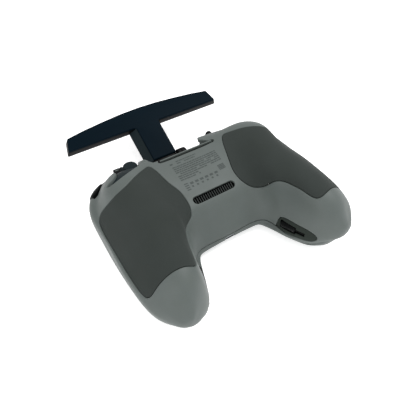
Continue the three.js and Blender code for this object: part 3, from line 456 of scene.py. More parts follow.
def moulded(name, color, tint, roughness, grain_mm=.35, bump=.12, spread=.5, metallic=0.0,
            coat=0.0, mottle_mm=14, sheen=0.0, specular=.5):
    """Moulded surface: base colour that drifts towards tint, fine grain in bump and roughness."""
    m = bpy.data.materials.new(name)
    m.use_nodes = True
    nodes, links = m.node_tree.nodes, m.node_tree.links
    shader = nodes["Principled BSDF"]
    set_inputs(shader, {"Metallic": metallic, "Specular IOR Level": specular, "Coat Weight": coat,
                        "Coat Roughness": .25, "Sheen Weight": sheen})
    where = nodes.new("ShaderNodeTexCoord").outputs["Object"]

    def noise(scale_mm, detail, rough):
        n = nodes.new("ShaderNodeTexNoise")
        set_inputs(n, {"Scale": 1000 / scale_mm, "Detail": detail, "Roughness": rough})
        links.new(where, n.inputs["Vector"])
        return n.outputs["Fac"]

    def mapped(source, ends):
        n = nodes.new("ShaderNodeMapRange")
        set_inputs(n, ends)
        links.new(source, n.inputs["Value"])
        return n.outputs["Result"]

    mottle = noise(mottle_mm, 5, .55)
    grain = noise(grain_mm, 2, .6)
    mix = nodes.new("ShaderNodeMix")
    mix.data_type = "RGBA"
    set_inputs(mix, {"A": linear(color), "B": linear(tint)})
    share = mapped(mottle, {"From Min": .35, "From Max": .7, "To Max": spread})
    links.new(share, mix.inputs["Factor"])
    speck = nodes.new("ShaderNodeMix")
    speck.data_type = "RGBA"
    speck.blend_type = "MULTIPLY"
    speck.inputs["Factor"].default_value = .35
    links.new(mix.outputs["Result"], speck.inputs["A"])
    shade = mapped(grain, {"From Min": .3, "From Max": .7, "To Min": .86, "To Max": 1.08})
    links.new(shade, speck.inputs["B"])
    links.new(speck.outputs["Result"], shader.inputs["Base Color"])
    rough = mapped(mottle, {"To Min": max(roughness - .06, .04), "To Max": min(roughness + .07, 1)})
    links.new(rough, shader.inputs["Roughness"])
    bumper = nodes.new("ShaderNodeBump")
    set_inputs(bumper, {"Strength": bump, "Distance": .00012})
    links.new(grain, bumper.inputs["Height"])
    links.new(bumper.outputs["Normal"], shader.inputs["Normal"])
    return m


MATS = {
    "shell": moulded("shell_grey_plastic", (86, 93, 91), (81, 88, 84), .5, bump=.16, specular=.35),
    "rubber": moulded("grip_rubber", (50, 55, 53), (46, 51, 48), .85, .5, .2, mottle_mm=30, sheen=.03,
                      specular=.15),
    "panel": moulded("stow_panel_rubber", (43, 49, 45), (40, 46, 42), .75, .4, .15, specular=.1),
    "black": moulded("satin_black_plastic", (5, 7, 8), (8, 10, 12), .45, .3, .15, specular=.12),
    # deep: black plastic with painted shade. It is darker and less reflective than the satin black, and is
    # used only deep inside recesses to stand in for their shade.
    "deep": moulded("black_plastic_with_painted_recess_shade", (2, 2, 3), (4, 4, 5), .8, .3, .15, specular=.02),
    "rib": moulded("vent_rib_plastic", (62, 66, 65), (56, 60, 59), .55, .3, .1, specular=.1),
    "navy": moulded("blue_black_plastic", (6, 19, 27), (10, 24, 33), .45, .3, .08, mottle_mm=30,
                    specular=.03),
    "dark": moulded("dark_grey_plastic", (24, 34, 37), (20, 29, 32), .5, .3, .12, specular=.1),
    "steel": moulded("satin_steel", (150, 154, 157), (136, 140, 144), .3, .25, .08, metallic=1.0),
    "board": moulded("circuit_board", (31, 74, 51), (25, 62, 42), .45, .4, .1),
    "lamp": moulded("charge_lamp_lens", (228, 236, 238), (214, 224, 228), .2, .4, .04, coat=.4),
    "battery": moulded("battery_sleeve", (43, 76, 126), (36, 66, 112), .4, .5, .08),
    "ink": moulded("grey_print", (68, 74, 73), (64, 70, 68), .6, .3, .05, specular=.2),
}


# ---------------------------------------------------------------------------------------
# mesh making
# ---------------------------------------------------------------------------------------
def make(name, points, faces, mat, body="handset", nodes=(), sharp=35):
    """A smooth-shaded mesh with sharp edges kept, in metres in the frame of the CAD model."""
    p = (np.asarray(points, float) + np.array([0, SHIFT_Y, 0])) * MM
    mesh = bpy.data.meshes.new(name)
    mesh.from_pydata(p.tolist(), [], [list(map(int, f)) for f in faces])
    mesh.validate()
    mesh.polygons.foreach_set("use_smooth", [True] * len(mesh.polygons))
    mesh.set_sharp_from_angle(angle=math.radians(sharp))
    mesh.materials.append(MATS[mat])
    obj = bpy.data.objects.new(name, mesh)
    bpy.context.scene.collection.objects.link(obj)
    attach(obj, body)
    if nodes:
        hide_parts(*nodes)
    return obj


GRID = base_grid(7, 8)
SPLIT_REACH = (2.2, 1.1)          # triangles nearer an edge than this are split
LIP_LEVELS = (0, .12, .35, .65, 1)   # shares of the lip radius where the skin is cut
BASE_POINTS = on_surface(GRID[0])
BODY_TREE = BVHTree.FromPolygons(BASE_POINTS.tolist(), GRID[1].tolist())


def height(x, y):
    """Height of the back surface above a plan point."""
    hit = BODY_TREE.ray_cast(Vector((x, y, 120)), Vector((0, 0, -1)))
    return hit[0].z if hit[0] else 0.0


def skin(field, radius, thickness, lift=0.0):
    """The part of the body surface where field is positive, with edges rounded to radius."""
    param, faces = GRID
    for reach in SPLIT_REACH:
        value = field(on_surface(param))
        v = value[faces]
        flagged = (v.min(1) < reach) & (v.max(1) > -reach * .6)
        param, faces = refined(param, faces, flagged)
    value = field(on_surface(param))
    for share in LIP_LEVELS:
        param, faces, value = sliced(param, faces, value, share * radius)
    faces = faces[(value[faces].min(1) > -1e-6) & (value[faces].max(1) > 1e-6)]
    points, normals = on_surface(param), outward(param)
    t = np.clip(radius - value, 0, radius)
    drop = radius - np.sqrt(np.maximum(radius ** 2 - t ** 2, 0))
    points = points + normals * (lift - drop)[:, None]
    points[:, 2] = np.maximum(points[:, 2], 0)
    points, normals, faces = welded(points, normals, faces)
    normals = normals / (np.linalg.norm(normals, axis=1)[:, None] + 1e-12)
    return with_thickness(points, normals, faces, thickness)


def outward_faces(points, faces):
    """Turns the faces of a closed part so that they look out."""
    volume = 0.0
    for f in faces:
        a = Vector(points[f[0]])
        for i in range(1, len(f) - 1):
            volume += a.dot(Vector(points[f[i]]).cross(Vector(points[f[i + 1]])))
    return points, faces if volume > 0 else [tuple(reversed(f)) for f in faces]


def joined(*parts):
    points, faces, start = [], [], 0
    for p, f in parts:
        points += [tuple(q) for q in p]
        faces += [tuple(int(i) + start for i in face) for face in f]
        start += len(p)
    return points, faces


def offset_outline(outline, amount):
    """Moves a closed outline inwards along its corner bisectors."""
    p = np.asarray(outline, float)
    a, b = p - np.roll(p, 1, 0), np.roll(p, -1, 0) - p
    na = np.stack([a[:, 1], -a[:, 0]], 1) / np.linalg.norm(a, axis=1)[:, None]
    nb = np.stack([b[:, 1], -b[:, 0]], 1) / np.linalg.norm(b, axis=1)[:, None]
    n = na + nb
    n /= np.maximum((n * n).sum(1), .4)[:, None] / 2
    return p - n * amount


def slab(outline, low, high, round_low=.5, round_high=.5, steps=4):
    """Upright plate of a counter-clockwise outline with rounded rims."""
    rings = []
    for i in range(steps + 1):
        a = math.pi / 2 * i / steps
        rings.append((round_low * (1 - math.sin(a)), low + round_low * (1 - math.cos(a))))
    for i in range(steps + 1):
        a = math.pi / 2 * i / steps
        rings.append((round_high * (1 - math.cos(a)), high - round_high * (1 - math.sin(a))))
    count = len(outline)
    points = []
    for inset, z in rings:
        points += [(x, y, z) for x, y in offset_outline(outline, inset)]
    faces = []
    for r in range(len(rings) - 1):
        for i in range(count):
            j = (i + 1) % count
            faces.append((r * count + i, r * count + j, (r + 1) * count + j, (r + 1) * count + i))
    flat = [Vector((x, y, 0)) for x, y in offset_outline(outline, round_high)]
    cap = tessellate_polygon([flat])
    top = (len(rings) - 1) * count
    for a, b, c in cap:
        area = (flat[b] - flat[a]).cross(flat[c] - flat[a]).z
        a, b, c = (a, b, c) if area > 0 else (a, c, b)
        faces.append((top + a, top + b, top + c))
        faces.append((c, b, a))
    return outward_faces(points, faces)


def lathe(profile, x, y, sides=64):
    """Body of revolution about +Z; its (radius, z) profile ends on the axis or closes on itself."""
    points, faces, rings = [], [], []
    for r, z in profile:
        if r < 1e-6:
            rings.append([len(points)])
            points.append((x, y, z))
        else:
            rings.append(list(range(len(points), len(points) + sides)))
            turns = [2 * math.pi * k / sides for k in range(sides)]
            points += [(x + r * math.cos(a), y + r * math.sin(a), z) for a in turns]
    pairs = list(zip(rings, rings[1:]))
    if profile[0][0] > 1e-6:
        pairs.append((rings[-1], rings[0]))
    for a, b in pairs:
        for k in range(sides):
            j = (k + 1) % sides
            if len(a) == 1 and len(b) == 1:
                continue
            if len(a) == 1:
                faces.append((a[0], b[j], b[k]))
            elif len(b) == 1:
                faces.append((a[k], a[j], b[0]))
            else:
                faces.append((a[k], a[j], b[j], b[k]))
    return outward_faces(points, faces)


def turned_to(part, matrix):
    points, faces = part
    return outward_faces([tuple(matrix @ Vector(p)) for p in points], faces)


def rounded_box(x0, x1, y0, y1, z0, z1, radius=.4, corner=None):
    r = radius if corner is None else corner
    outline = []
    for cx, cy, start in ((x1 - r, y0 + r, -90), (x1 - r, y1 - r, 0),
                          (x0 + r, y1 - r, 90), (x0 + r, y0 + r, 180)):
        for i in range(5):
            a = math.radians(start + 22.5 * i)
            outline.append((cx + r * math.cos(a), cy + r * math.sin(a)))
    return slab(outline, z0, z1, radius, radius, 3)


# ---------------------------------------------------------------------------------------
# shells and grip skins
# ---------------------------------------------------------------------------------------
make("rear_shell_moulding", *skin(rear_field, .55, 2.6), "shell", nodes=["rear_shell"])
make("front_shell_moulding", *skin(front_field, .45, 2.4), "shell", nodes=["front_shell"])
for side, sign in SIDES:
    make(f"grip_skin_{side}", *skin(lambda p, s=sign: -pad_field(p, s) - .15, .45, 1.2), "rubber",
         nodes=[f"grip_pad_{side}"])

# ---------------------------------------------------------------------------------------
# more mesh helpers
# ---------------------------------------------------------------------------------------
def filleted(corners, steps=6):
    """Outline whose (x, y, radius) corners are replaced by arcs."""
    out = []
    for i, (x, y, radius) in enumerate(corners):
        p = Vector((x, y))
        a = Vector(corners[i - 1][:2]) - p
        b = Vector(corners[(i + 1) % len(corners)][:2]) - p
        angle = a.angle(b)
        if radius <= 0 or angle > 3.1:
            out.append((x, y))
            continue
        reach = radius / math.tan(angle / 2)
        a.normalize()
        b.normalize()
        centre = p + (a + b).normalized() * (radius / math.sin(angle / 2))
        start, end = p + a * reach - centre, p + b * reach - centre
        turn = start.angle_signed(end)
        for k in range(steps + 1):
            v = start.copy()
            v.rotate(Matrix.Rotation(-turn * k / steps, 2))
            out.append(tuple(centre + v))
    return out


def tube(outer, inner, low, high):
    """Upright wall between two outlines with the same number of points."""
    count = len(outer)
    points = [(x, y, z) for z in (low, high) for line in (outer, inner) for x, y in line]
    faces = []
    for i in range(count):
        j = (i + 1) % count
        o0, o1, n0, n1 = (k * count for k in (0, 2, 1, 3))
        faces += [(o0 + i, o0 + j, o1 + j, o1 + i), (n0 + j, n0 + i, n1 + i, n1 + j),
                  (o1 + i, o1 + j, n1 + j, n1 + i), (n0 + i, n0 + j, o0 + j, o0 + i)]
    return outward_faces(points, faces)


ALONG_X = Matrix(((0, 0, 1, 0), (1, 0, 0, 0), (0, 1, 0, 0), (0, 0, 0, 1)))
ALONG_Y = Matrix(((0, 1, 0, 0), (0, 0, 1, 0), (1, 0, 0, 0), (0, 0, 0, 1)))


def moved(part, x, y, z):
    return [(p[0] + x, p[1] + y, p[2] + z) for p in part[0]], part[1]


def rod(radius, low, high, soft=.4, sides=40):
    """Solid round bar along +Z with rounded ends."""
    arc = [math.pi / 2 * i / 4 for i in range(5)]
    profile = [(0, low)]
    profile += [(radius - soft + soft * math.sin(a), low + soft - soft * math.cos(a)) for a in arc]
    profile += [(radius - soft + soft * math.cos(a), high - soft + soft * math.sin(a)) for a in arc]
    return lathe(profile + [(0, high)], 0, 0, sides)


def x_rod(radius, x0, x1, y, z, soft=.4, sides=40):
    return moved(turned_to(rod(radius, x0, x1, soft, sides), ALONG_X), 0, y, z)


def y_rod(radius, y0, y1, x, z, soft=.4, sides=40):
    return moved(turned_to(rod(radius, y0, y1, soft, sides), ALONG_Y), x, 0, z)


def draped(part, level, low=None):
    """Moves every point above low by the rise of the back surface over level."""
    points, faces = part
    out = [(x, y, z + height(x, y) - level if low is None or z > low else z) for x, y, z in points]
    return out, faces


def body_slice(x0, x1, y_min, z_min, z_max, inset):
    """Upright plate across the body, cut to the outline of its section."""
    s = 12 + (abs(x0) + abs(x1)) / 44
    s = s if x0 > 0 else 24 - s
    f = np.linspace(0, RING, 160, endpoint=False)
    param = np.stack([np.full_like(f, s), f], 1)
    p = on_surface(param) - outward(param) * inset
    line = [(y, z) for _, y, z in p.tolist()]
    for axis, limit, keep in ((0, y_min, 1), (1, z_min, 1), (1, z_max, -1)):
        kept = []
        for a, b in zip(line, line[1:] + line[:1]):
            da, db = (a[axis] - limit) * keep, (b[axis] - limit) * keep
            if da >= 0:
                kept.append(a)
            if (da > 0) != (db > 0) and abs(da - db) > 1e-9:
                t = da / (da - db)
                kept.append((a[0] + (b[0] - a[0]) * t, a[1] + (b[1] - a[1]) * t))
        line = kept
    clean = [a for a, b in zip(line, line[1:] + line[:1]) if math.hypot(a[0] - b[0], a[1] - b[1]) > .05]
    area = sum(a[0] * b[1] - a[1] * b[0] for a, b in zip(clean, clean[1:] + clean[:1]))
    clean = clean if area > 0 else clean[::-1]
    return turned_to(slab(clean, x0, x1, .05, .05, 1), ALONG_X)


# ---------------------------------------------------------------------------------------
# hinge recess, slot and strip
# ---------------------------------------------------------------------------------------
for half, low, high, cheek_top, inset in (("rear", PART_Z + .2, 47.6, 80, 1),
                                          ("front", 5.4, PART_Z - .2, PART_Z - .2, .8)):
    make(f"recess_wall_{half}", *joined(
        rounded_box(RECESS_LEFT - .5, RECESS_RIGHT + .5, 10.9, TOP_WALL_Y - .02, low, high, .2),
        body_slice(RECESS_LEFT - 2.4, RECESS_LEFT - .05, 12, low, cheek_top, inset),
        body_slice(RECESS_RIGHT + .05, RECESS_RIGHT + 2.4, 12, low, cheek_top, inset)), "shell")
# Slot floor in the near-black deep material: black plastic with painted shade of the groove.
make("slot_floor", *rounded_box(-26.6, 28.4, 9.6, TOP_WALL_Y - .1, 46, 48.1, .2, 1.8), "deep")
strip = rounded_box(-24.3, 26.4, 12.25, TOP_WALL_Y - .1, 48.2, 50.35, .3)
make("trim_strip", *draped(strip, 50.7, 49.4), "shell", nodes=["top_trim_strip"])

# ---------------------------------------------------------------------------------------
# vent and printed marks
# ---------------------------------------------------------------------------------------
VENT_SLOPE = .45
RIB_COUNT, RIB_PITCH = 18, 2.05


def vent_tilted(part):
    return [(x, y, z + (y - VENT_Y) * VENT_SLOPE) for x, y, z in part[0]], part[1]


vent_line = filleted([(-19.4, -36.5, 2.8), (19.4, -36.5, 2.8), (19.4, -30.7, 2.8), (-19.4, -30.7, 2.8)])
# Vent well in the near-black deep material: black plastic with painted shade deep in the vent.
make("vent_well", *joined(vent_tilted(slab(vent_line, 36.4, 37.6, .2, .2, 2)),
                          vent_tilted(tube(vent_line, offset_outline(vent_line, .45), 37.2, 39.5))), "deep",
     nodes=["vent_grille"])
ribs = []
for i in range(RIB_COUNT):
    x = (i - (RIB_COUNT - 1) / 2) * RIB_PITCH
    ribs.append(vent_tilted(rounded_box(x - .25, x + .25, VENT_Y - 2.5, VENT_Y + 2.5, 37.4, 39.35, .12)))
make("vent_ribs", *joined(*ribs), "rib")


def dash(x0, x1, y0, y1, raise_by=.03):
    """Thin printed bar that lies on the back surface."""
    corners = [(x0, y0), (x1, y0), (x1, y1), (x0, y1)]
    top = [(x, y, height(x, y) + raise_by) for x, y in corners]
    low = [(x, y, z - .2) for x, y, z in top]
    return outward_faces(low + top, [(0, 1, 2, 3), (4, 7, 6, 5), (0, 4, 5, 1), (1, 5, 6, 2), (2, 6, 7, 3),
                                     (3, 7, 4, 0)])


marks = [dash(-19.6, -17, 3.4, 5)]
spread = np.random.default_rng(7)
rows = [(5.6, -13.4, 5, 1.1, .95), (3.4, -13.4, 3, 1.1, .95)]
rows += [(.4 - 1.95 * i, -19.2, 21.5 if i < 6 else -1, 1.15, .93) for i in range(8)]
for y, x0, x1, tall, solid in rows:
    x = x0
    while x < x1:
        wide = float(spread.uniform(1.1, 3.6))
        if spread.random() < solid:
            marks.append(dash(x, min(x + wide, x1 + .8), y - tall / 2, y + tall / 2))
        x += wide + .4
for x0, x1, y0, y1 in ((-18.8, -15.4, -24.4, -16.6), (15.5, 21.5, -18.6, -13.4)):
    for i in range(4):
        y = y0 + (y1 - y0) * (i + .5) / 4
        marks.append(dash(x0, x1, y - .5, y + .5))
for i in range(6):
    marks.append(dash(-13.6 + 4.7 * i, -10.6 + 4.7 * i, -19.6, -17.6))
    marks.append(dash(-13.6 + 4.7 * i, -11.9 + 4.7 * i, -22.4, -20.8))
make("print_marks", *joined(*marks), "ink")

# ---------------------------------------------------------------------------------------
# shoulders: panels, triggers, dial, levers, pause key
# ---------------------------------------------------------------------------------------
DIAL_X, DIAL_Y, DIAL_R, DIAL_Z = -47, 24, 6.2, (42.7, 47.6)
teeth = [(DIAL_X + r * math.cos(a), DIAL_Y + r * math.sin(a))
         for k in range(144) for a in [2 * math.pi * k / 144] for r in [DIAL_R - (.3 if k % 4 > 1 else 0)]]
LEVER_ROOM = {-1: (-64.4, -47.4, 37.8), 1: (50.4, 64.4, 34.8)}
KEY_X, KEY_Z = 37.2, 38.9
C2_LOW = 35.8


def panel_field(p, sign):
    """Positive on the shoulder panel: inside its window, clear of every control."""
    x0, x1, floor = LEVER_ROOM[sign]
    lever = np.maximum(box_distance(p[:, 0], p[:, 1], x0, x1, 23, 90), floor - p[:, 2])
    dial = np.hypot(p[:, 0] - DIAL_X, p[:, 1] - DIAL_Y) - DIAL_R - .4
    key = np.maximum(np.hypot(p[:, 0] - KEY_X, p[:, 2] - KEY_Z) - 4.2, 24.4 - p[:, 1])
    window = -window_field(p, sign) - .1
    trigger = trigger_field(p, sign, TRIGGER_OPENING) - .3
    return np.min([window, trigger, lever, dial, key], axis=0)


for side, sign in SIDES:
    make(f"shoulder_panel_{side}_moulding", *skin(lambda p, s=sign: panel_field(p, s), .3, 2.2, -2.0), "dark",
         nodes=[f"shoulder_panel_{side}"])
    key = "start_stop_key" if side == "left" else "shutter_key"
    node = "start_stop_button" if side == "left" else "shutter_button"
    make(f"trigger_{side}", *skin(lambda p, s=sign: -trigger_field(p, s), .8, 2.8, .7), "black", key, [node])
make("dial_wheel", *slab(teeth, DIAL_Z[0], DIAL_Z[1], .8, .9, 4), "dark", "dial", ["gimbal_dial"])
make("mode_lever", *rounded_box(-60, -54, 24, 33.4, 38.6, 42, .7, 1), "black", "mode_switch",
     ["mode_switch_lever"])
make("mode_lever_foot", *rounded_box(-54.2, -51, 24, 33.4, 38.6, 41.9, .7, 1), "dark", "mode_switch")
make("mode_lever_mark", *rounded_box(-58.6, -55.4, 30.4, 31.6, 41.5, 42.05, .15), "shell", "mode_switch")
make("c2_lever", *rounded_box(54, 60, 24, 33.4, C2_LOW, C2_LOW + 3.4, .7, 1), "black", "c2_switch",
     ["c2_switch_lever"])
make("pause_key_cap", *y_rod(3.2, 27, 35.2, KEY_X, KEY_Z, .8, 48), "black", "pause_key", ["pause_button"])

# ---------------------------------------------------------------------------------------
# stick stowage in the grips
# ---------------------------------------------------------------------------------------
POCKET = filleted([
    (STICK_START - .5, -3.5, .6), (STICK_SHOULDER + .5, -3.5, .4), (STICK_SHOULDER + .5, -1.8, .2),
    (STICK_END + .5, -1.8, .6), (STICK_END + .5, 1.8, .6), (STICK_SHOULDER + .5, 1.8, .2),
    (STICK_SHOULDER + .5, 3.5, .4), (STICK_START - .5, 3.5, .6)], 3)
for side, sign in SIDES:
    flip = Matrix.Diagonal((sign, 1, 1, 1))
    basis = Matrix((*[tuple(a) for a in zip(STOW_ALONG, STOW_UP, STOW_OUT)],)).to_4x4()
    place = flip @ Matrix.Translation(Vector(STOW_ORIGIN)) @ basis
    make(f"stow_block_{side}", *skin(
        lambda p, s=sign: np.minimum(-stow_field(p, s), pocket_field(p, s)), .4, 3, -.3), "panel",
        nodes=[f"stow_liner_{side}"])
    # Pocket under the stowed stick in the near-black deep material: black plastic with painted shade deep in
    # the pocket.
    cavity = joined(slab(POCKET, -STICK_SINK - 3.9, -STICK_SINK - 3.35, .1, .1, 1),
                    tube(POCKET, offset_outline(POCKET, .3), -STICK_SINK - 3.5, -1.2))
    make(f"stow_cavity_{side}", *turned_to(cavity, place), "deep")
    head = [(0, STICK_START), (2.2, STICK_START + .1), (2.8, STICK_START + .7)]
    for k in range(5):
        z = STICK_START + 1.6 + 1.8 * k
        head += [(3, z), (3, z + .9), (2.7, z + 1.1), (2.7, z + 1.4)]
    head += [(3, 1.2), (2.8, 2.1), (2.2, STICK_SHOULDER - .3), (1.3, STICK_SHOULDER)]
    for k in range(8):
        z = STICK_SHOULDER + .7 + .85 * k
        head += [(1.3, z), (1.3, z + .35), (1.1, z + .5), (1.1, z + .7)]
    head += [(1.3, 10.5), (1.0, STICK_END - .2), (0, STICK_END)]
    stick = moved(turned_to(lathe(head, 0, 0, 36), ALONG_X), 0, 0, -STICK_SINK)
    make(f"stowed_stick_{side}", *turned_to(stick, place), "black", f"{side}_stick",
         [f"control_stick_{side}"], 28)

# ---------------------------------------------------------------------------------------
# antenna: x across, v along the stem, n out of the label side
# ---------------------------------------------------------------------------------------
TILT = math.radians(24.8)
ANT_Y, ANT_Z, THICK, LID = 56.6, 13.7, 8.6, 1.8
AXIS_V, AXIS_N = -8, -5
AXIS_Y = ANT_Y + AXIS_V * math.cos(TILT) - AXIS_N * math.sin(TILT)
AXIS_Z = ANT_Z + AXIS_V * math.sin(TILT) + AXIS_N * math.cos(TILT)
STEM_LEFT, STEM_RIGHT = -12.4, 12.8
T_LINE = filleted([
    (STEM_LEFT, -1, .8), (STEM_RIGHT, -1, .8), (STEM_RIGHT, 38.5, 1.6), (81.8, 38.5, 1.2), (77.9, 51.9, 2.4),
    (60, 54.7, 40), (40, 56.8, 40), (20, 58.45, 60), (0, 59.05, 120), (-20, 58.45, 60), (-40, 56.8, 40),
    (-60, 54.7, 40), (-77.9, 51.9, 2.4), (-81.8, 38.5, 1.2), (STEM_LEFT, 38.5, 3)])


def on_antenna(part, leaning=True):
    points, faces = part
    out = []
    for x, v, n in points:
        if leaning and abs(x) > 70:
            x += math.copysign(.28 * -n, x)
        if leaning and abs(x) > 14 and v < 41:
            v += .14 * n
        out.append((x, ANT_Y + v * math.cos(TILT) - n * math.sin(TILT),
                    ANT_Z + v * math.sin(TILT) + n * math.cos(TILT)))
    return outward_faces(out, faces)


make("antenna_top_cover", *on_antenna(slab(T_LINE, -LID, -.02, .15, 1.1, 6)), "navy", "antenna",
     ["antenna_rear_cover"], 30)
barrel = lathe([(2, -13.2), (3.9, -13.2), (4.4, -12.7), (4.4, 12.7), (3.9, 13.2), (2, 13.2)], 0, 0, 48)
make("antenna_bottom_cover", *joined(
    on_antenna(slab(T_LINE, -THICK + .02, -LID - .3, 1.2, .15, 5)),
    moved(turned_to(barrel, ALONG_X), 0, AXIS_Y, AXIS_Z),
    on_antenna(rounded_box(STEM_LEFT + .2, STEM_RIGHT - .2, -5.4, 0, -THICK + .3, -LID - .4, .4), False)),
     "black", "antenna", ["antenna_front_cover"], 30)
duct_line = filleted([(STEM_LEFT - .3, -.5, 0), (-20.3, -6.6, .5), (-20, -7, .2), (STEM_LEFT - .3, -7, 0)], 3)
duct_line = duct_line[::-1] if sum(a[0] * b[1] - a[1] * b[0] for a, b in zip(
    duct_line, duct_line[1:] + duct_line[:1])) < 0 else duct_line
duct = slab(duct_line, -1.5, 37.4, .1, .1, 1)
make("antenna_duct", *on_antenna(([(x, v, n) for x, n, v in duct[0]], duct[1]), False), "dark", "antenna",
     ["antenna_cable_duct"])

# hinge bracket with its two arms, the knuckle cover and the pin
arms = []
for x0 in (-23.2, 13.6):
    x1 = x0 + 9.6
    sleeve = lathe([(2, x0), (4.1, x0), (4.6, x0 + .5), (4.6, x0 + 9.1), (4.1, x1), (2, x1)], 0, 0, 48)
    arms += [moved(turned_to(sleeve, ALONG_X), 0, AXIS_Y, AXIS_Z),
             rounded_box(x0, x1, 23, AXIS_Y - 3.4, 6.7, 10.1, .5)]
make("bracket_moulding", *joined(
    rounded_box(-23.3, 23.3, TOP_WALL_Y + .35, 23.5, 9.1, 33.9, .8),
    rounded_box(-23.3, 23.3, 23, 44.9, 9.1, 12.9, .6), *arms,
    x_rod(5.45, 13.2, 18, 53, 10.6, .4, 56),
    x_rod(5.45, 14, 22.5, 53, 10.6, 2.2, 56)), "black", nodes=["hinge_bracket"])
make("hinge_axle", *x_rod(1.7, -22.8, 22.8, AXIS_Y, AXIS_Z, .3, 32), "steel", nodes=["hinge_pin"])

# ---------------------------------------------------------------------------------------
# front: gimbals, keys, lights, screws, loop, port
# ---------------------------------------------------------------------------------------
POST_HEIGHT = 20
for side, sign in SIDES:
    gx = sign * GIMBAL_X
    lip = [(23.2, .7), (23.2, 4.5), (19.3, 4.5), (19.3, 9), (14.6, 9), (14.9, 8.3), (16.4, 5.6), (18.1, 2.6),
           (19.2, 1), (19.7, .35), (20.3, .02), (22.4, .02), (22.9, .2)]
    make(f"bezel_{side}", *lathe(lip, gx, GIMBAL_Y, 96), "black", nodes=[f"gimbal_bezel_{side}"])
    cup = [(0, 31.5), (0, 29.9), (17.2, 29.9), (17.2, 9.5), (18.6, 9.5), (18.6, 31), (18.1, 31.5)]
    make(f"housing_{side}", *lathe([*cup[1:], cup[0]], gx, GIMBAL_Y, 64), "dark",
         nodes=[f"gimbal_housing_{side}"])
    yoke = [lathe([(12.4, 18.1), (15.2, 18.1), (15.2, 21.9), (12.4, 21.9)], gx, GIMBAL_Y, 56),
            x_rod(1.3, gx + 14.8, gx + 16.9, GIMBAL_Y, POST_HEIGHT, .2, 20),
            x_rod(1.3, gx - 16.9, gx - 14.8, GIMBAL_Y, POST_HEIGHT, .2, 20)]
    make(f"yoke_{side}", *joined(*yoke), "steel", body=f"{side}_yoke", nodes=[f"gimbal_yoke_{side}"])
    dome = [(0, 20.8), (11.2, 20.8)]
    dome += [(11.2 * math.cos(a), 20 - 11.2 * math.sin(a)) for a in np.linspace(0, 1.36, 15).tolist()]
    dome += [(2.2, 7.2), (2.1, 6.6)]
    for k in range(5):
        z = 6.3 - .75 * k
        dome += [(2.1, z), (2.1, z - .25), (1.8, z - .4), (1.8, z - .6)]
    dome += [(1.7, 2.6), (1.4, 2.42), (0, 2.42)]
    post = [lathe(dome, gx, GIMBAL_Y, 56),
            y_rod(1.2, GIMBAL_Y + 10, GIMBAL_Y + 12, gx, POST_HEIGHT, .2, 20),
            y_rod(1.2, GIMBAL_Y - 12, GIMBAL_Y - 10, gx, POST_HEIGHT, .2, 20)]
    make(f"post_{side}", *joined(*post), "black", body=f"{side}_post", nodes=[f"gimbal_post_{side}"])

power = [(0, 4.75), (4.4, 4.75), (5.1, 4.62), (5.6, 4.75), (5.95, 5.2), (6, 8.4), (7.4, 8.4), (7.4, 9.6),
         (0, 9.6)]
make("power_key_cap", *lathe(power, 0, POWER_Y, 56), "black", "power_key", ["power_button"])
custom = [(0, 4.7), (3.3, 4.62), (3.9, 4.8), (4.2, 5.3), (4.2, 8.4), (5, 8.5), (5, 9.6), (0, 9.6)]
make("c1_key_cap", *lathe(custom, 0, C1_Y, 48), "dark", "c1_key", ["c1_button"])
for i in range(4):
    x = (i - 1.5) * 6
    make(f"light_{i + 1}", *rounded_box(x - 1.48, x + 1.48, -18.88, -17.12, 5.3, 9.4, .3), "lamp",
         nodes=[f"charge_light_{i + 1}"])
screw = [(0, 6), (.5, 6), (.8, 5.5), (1, 5.25), (2, 5.22), (2.3, 5.5), (2.3, 6.3), (1.2, 6.3), (1.2, 16),
         (0, 16.6)]
for i, (x, y) in enumerate(SCREWS):
    make(f"screw_{i + 1}", *lathe(screw, x, y, 32), "steel", nodes=[f"shell_screw_{i + 1}"])
loop_base = lathe([(0, 3.85), (5.8, 3.85), (5.95, 4), (5.95, 4.65), (0, 4.65)], 0, 3, 40)
make("wrist_loop", *joined(
    rounded_box(-4.5, -3.1, 1.85, 4.15, 1.4, 4.2, .3), rounded_box(3.1, 4.5, 1.85, 4.15, 1.4, 4.2, .3),
    rounded_box(-4.5, 4.5, 1.85, 4.15, 1.05, 2.15, .35), loop_base), "dark", nodes=["lanyard_loop"])
port_line = filleted([(-4.4, 6.75, 1.3), (4.4, 6.75, 1.3), (4.4, 9.65, 1.3), (-4.4, 9.65, 1.3)], 5)
port = joined(tube(port_line, offset_outline(port_line, .35), 52.4, 58.4),
              slab(port_line, 52.1, 52.9, .05, .05, 1),
              slab([(-3.1, 7.9), (3.1, 7.9), (3.1, 8.5), (-3.1, 8.5)], 52.8, 57.8, .05, .1, 1))
make("charging_port", *outward_faces([(x, -d, z) for x, z, d in port[0]], port[1]), "steel",
     nodes=["usb_port"])

# rounded edges on the parts inside that keep their plain form
for name in ("main_board", "battery_pack", "power_switch", "c1_switch", "heat_sink", "radio_board",
             "vibration_motor", "speaker", "antenna_element_left", "antenna_element_right"):
    edge = NODES[name].modifiers.new("edge", "BEVEL")
    edge.width, edge.segments, edge.limit_method = .0002, 2, "ANGLE"


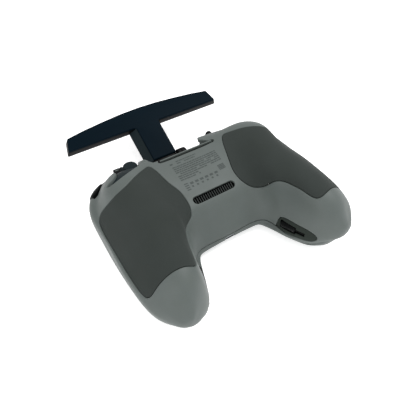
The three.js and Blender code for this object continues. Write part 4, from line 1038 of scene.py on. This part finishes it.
# camera and light -----------------------------------------------------------------------
SENSOR_MM, LENS_MM = 36, 32.57
CAMERA_PLACE = (-.1165, (SHIFT_Y - 207.6) * MM, .2633)
CAMERA_BACK = Vector((-.3501, -.5517, .7570)).normalized()   # from the part towards the camera
camera = bpy.data.objects.new("camera", bpy.data.cameras.new("camera"))
bpy.context.scene.collection.objects.link(camera)
camera.data.sensor_width, camera.data.lens = SENSOR_MM, LENS_MM
camera.data.clip_start, camera.data.clip_end = .01, 20
camera.location = CAMERA_PLACE
camera.rotation_mode = "QUATERNION"
camera.rotation_quaternion = (-CAMERA_BACK).to_track_quat("-Z", "Y")
bpy.context.scene.camera = camera

FLOOR_HALF, FLOOR_Z = 3, -.0002      # metres
corners = [(FLOOR_HALF * a, FLOOR_HALF * b, FLOOR_Z) for a, b in ((-1, -1), (1, -1), (1, 1), (-1, 1))]
floor = bpy.data.objects.new("floor", bpy.data.meshes.new("floor"))
floor.data.from_pydata(corners, [], [(0, 1, 2, 3)])
bpy.context.scene.collection.objects.link(floor)
floor_mat = bpy.data.materials.new("pale_floor")
floor_mat.use_nodes = True
set_inputs(floor_mat.node_tree.nodes["Principled BSDF"], {
    "Base Color": (.9, .9, .9, 1), "Roughness": .9,
    "Emission Color": (1, 1, 1, 1), "Emission Strength": .55})
floor.data.materials.append(floor_mat)

bpy.context.scene.view_settings.view_transform = "Standard"
world = bpy.data.worlds.new("studio")
bpy.context.scene.world = world
world.use_nodes = True
set_inputs(world.node_tree.nodes["Background"], {"Color": (1, 1, 1, 1), "Strength": .76})


def area_light(name, place, target, size, power):
    lamp = bpy.data.objects.new(name, bpy.data.lights.new(name, "AREA"))
    lamp.data.size = size
    lamp.data.energy = power
    lamp.location = place
    lamp.rotation_mode = "QUATERNION"
    lamp.rotation_quaternion = (Vector(target) - Vector(place)).to_track_quat("-Z", "Y")
    bpy.context.scene.collection.objects.link(lamp)


area_light("key", (.5, -.1, .9), (0, 0, .02), .6, 6)
area_light("fill", (-.8, -.5, .6), (0, 0, .02), .8, 3)

for name, obj in NODES.items():
    if not obj.hide_render:
        slot = next(s["material_slot"] for s in frame["record"]["subparts"] if s["node"] == name)
        obj.data.materials.clear()
        obj.data.materials.append(MATS.get(slot, MATS["black"]))
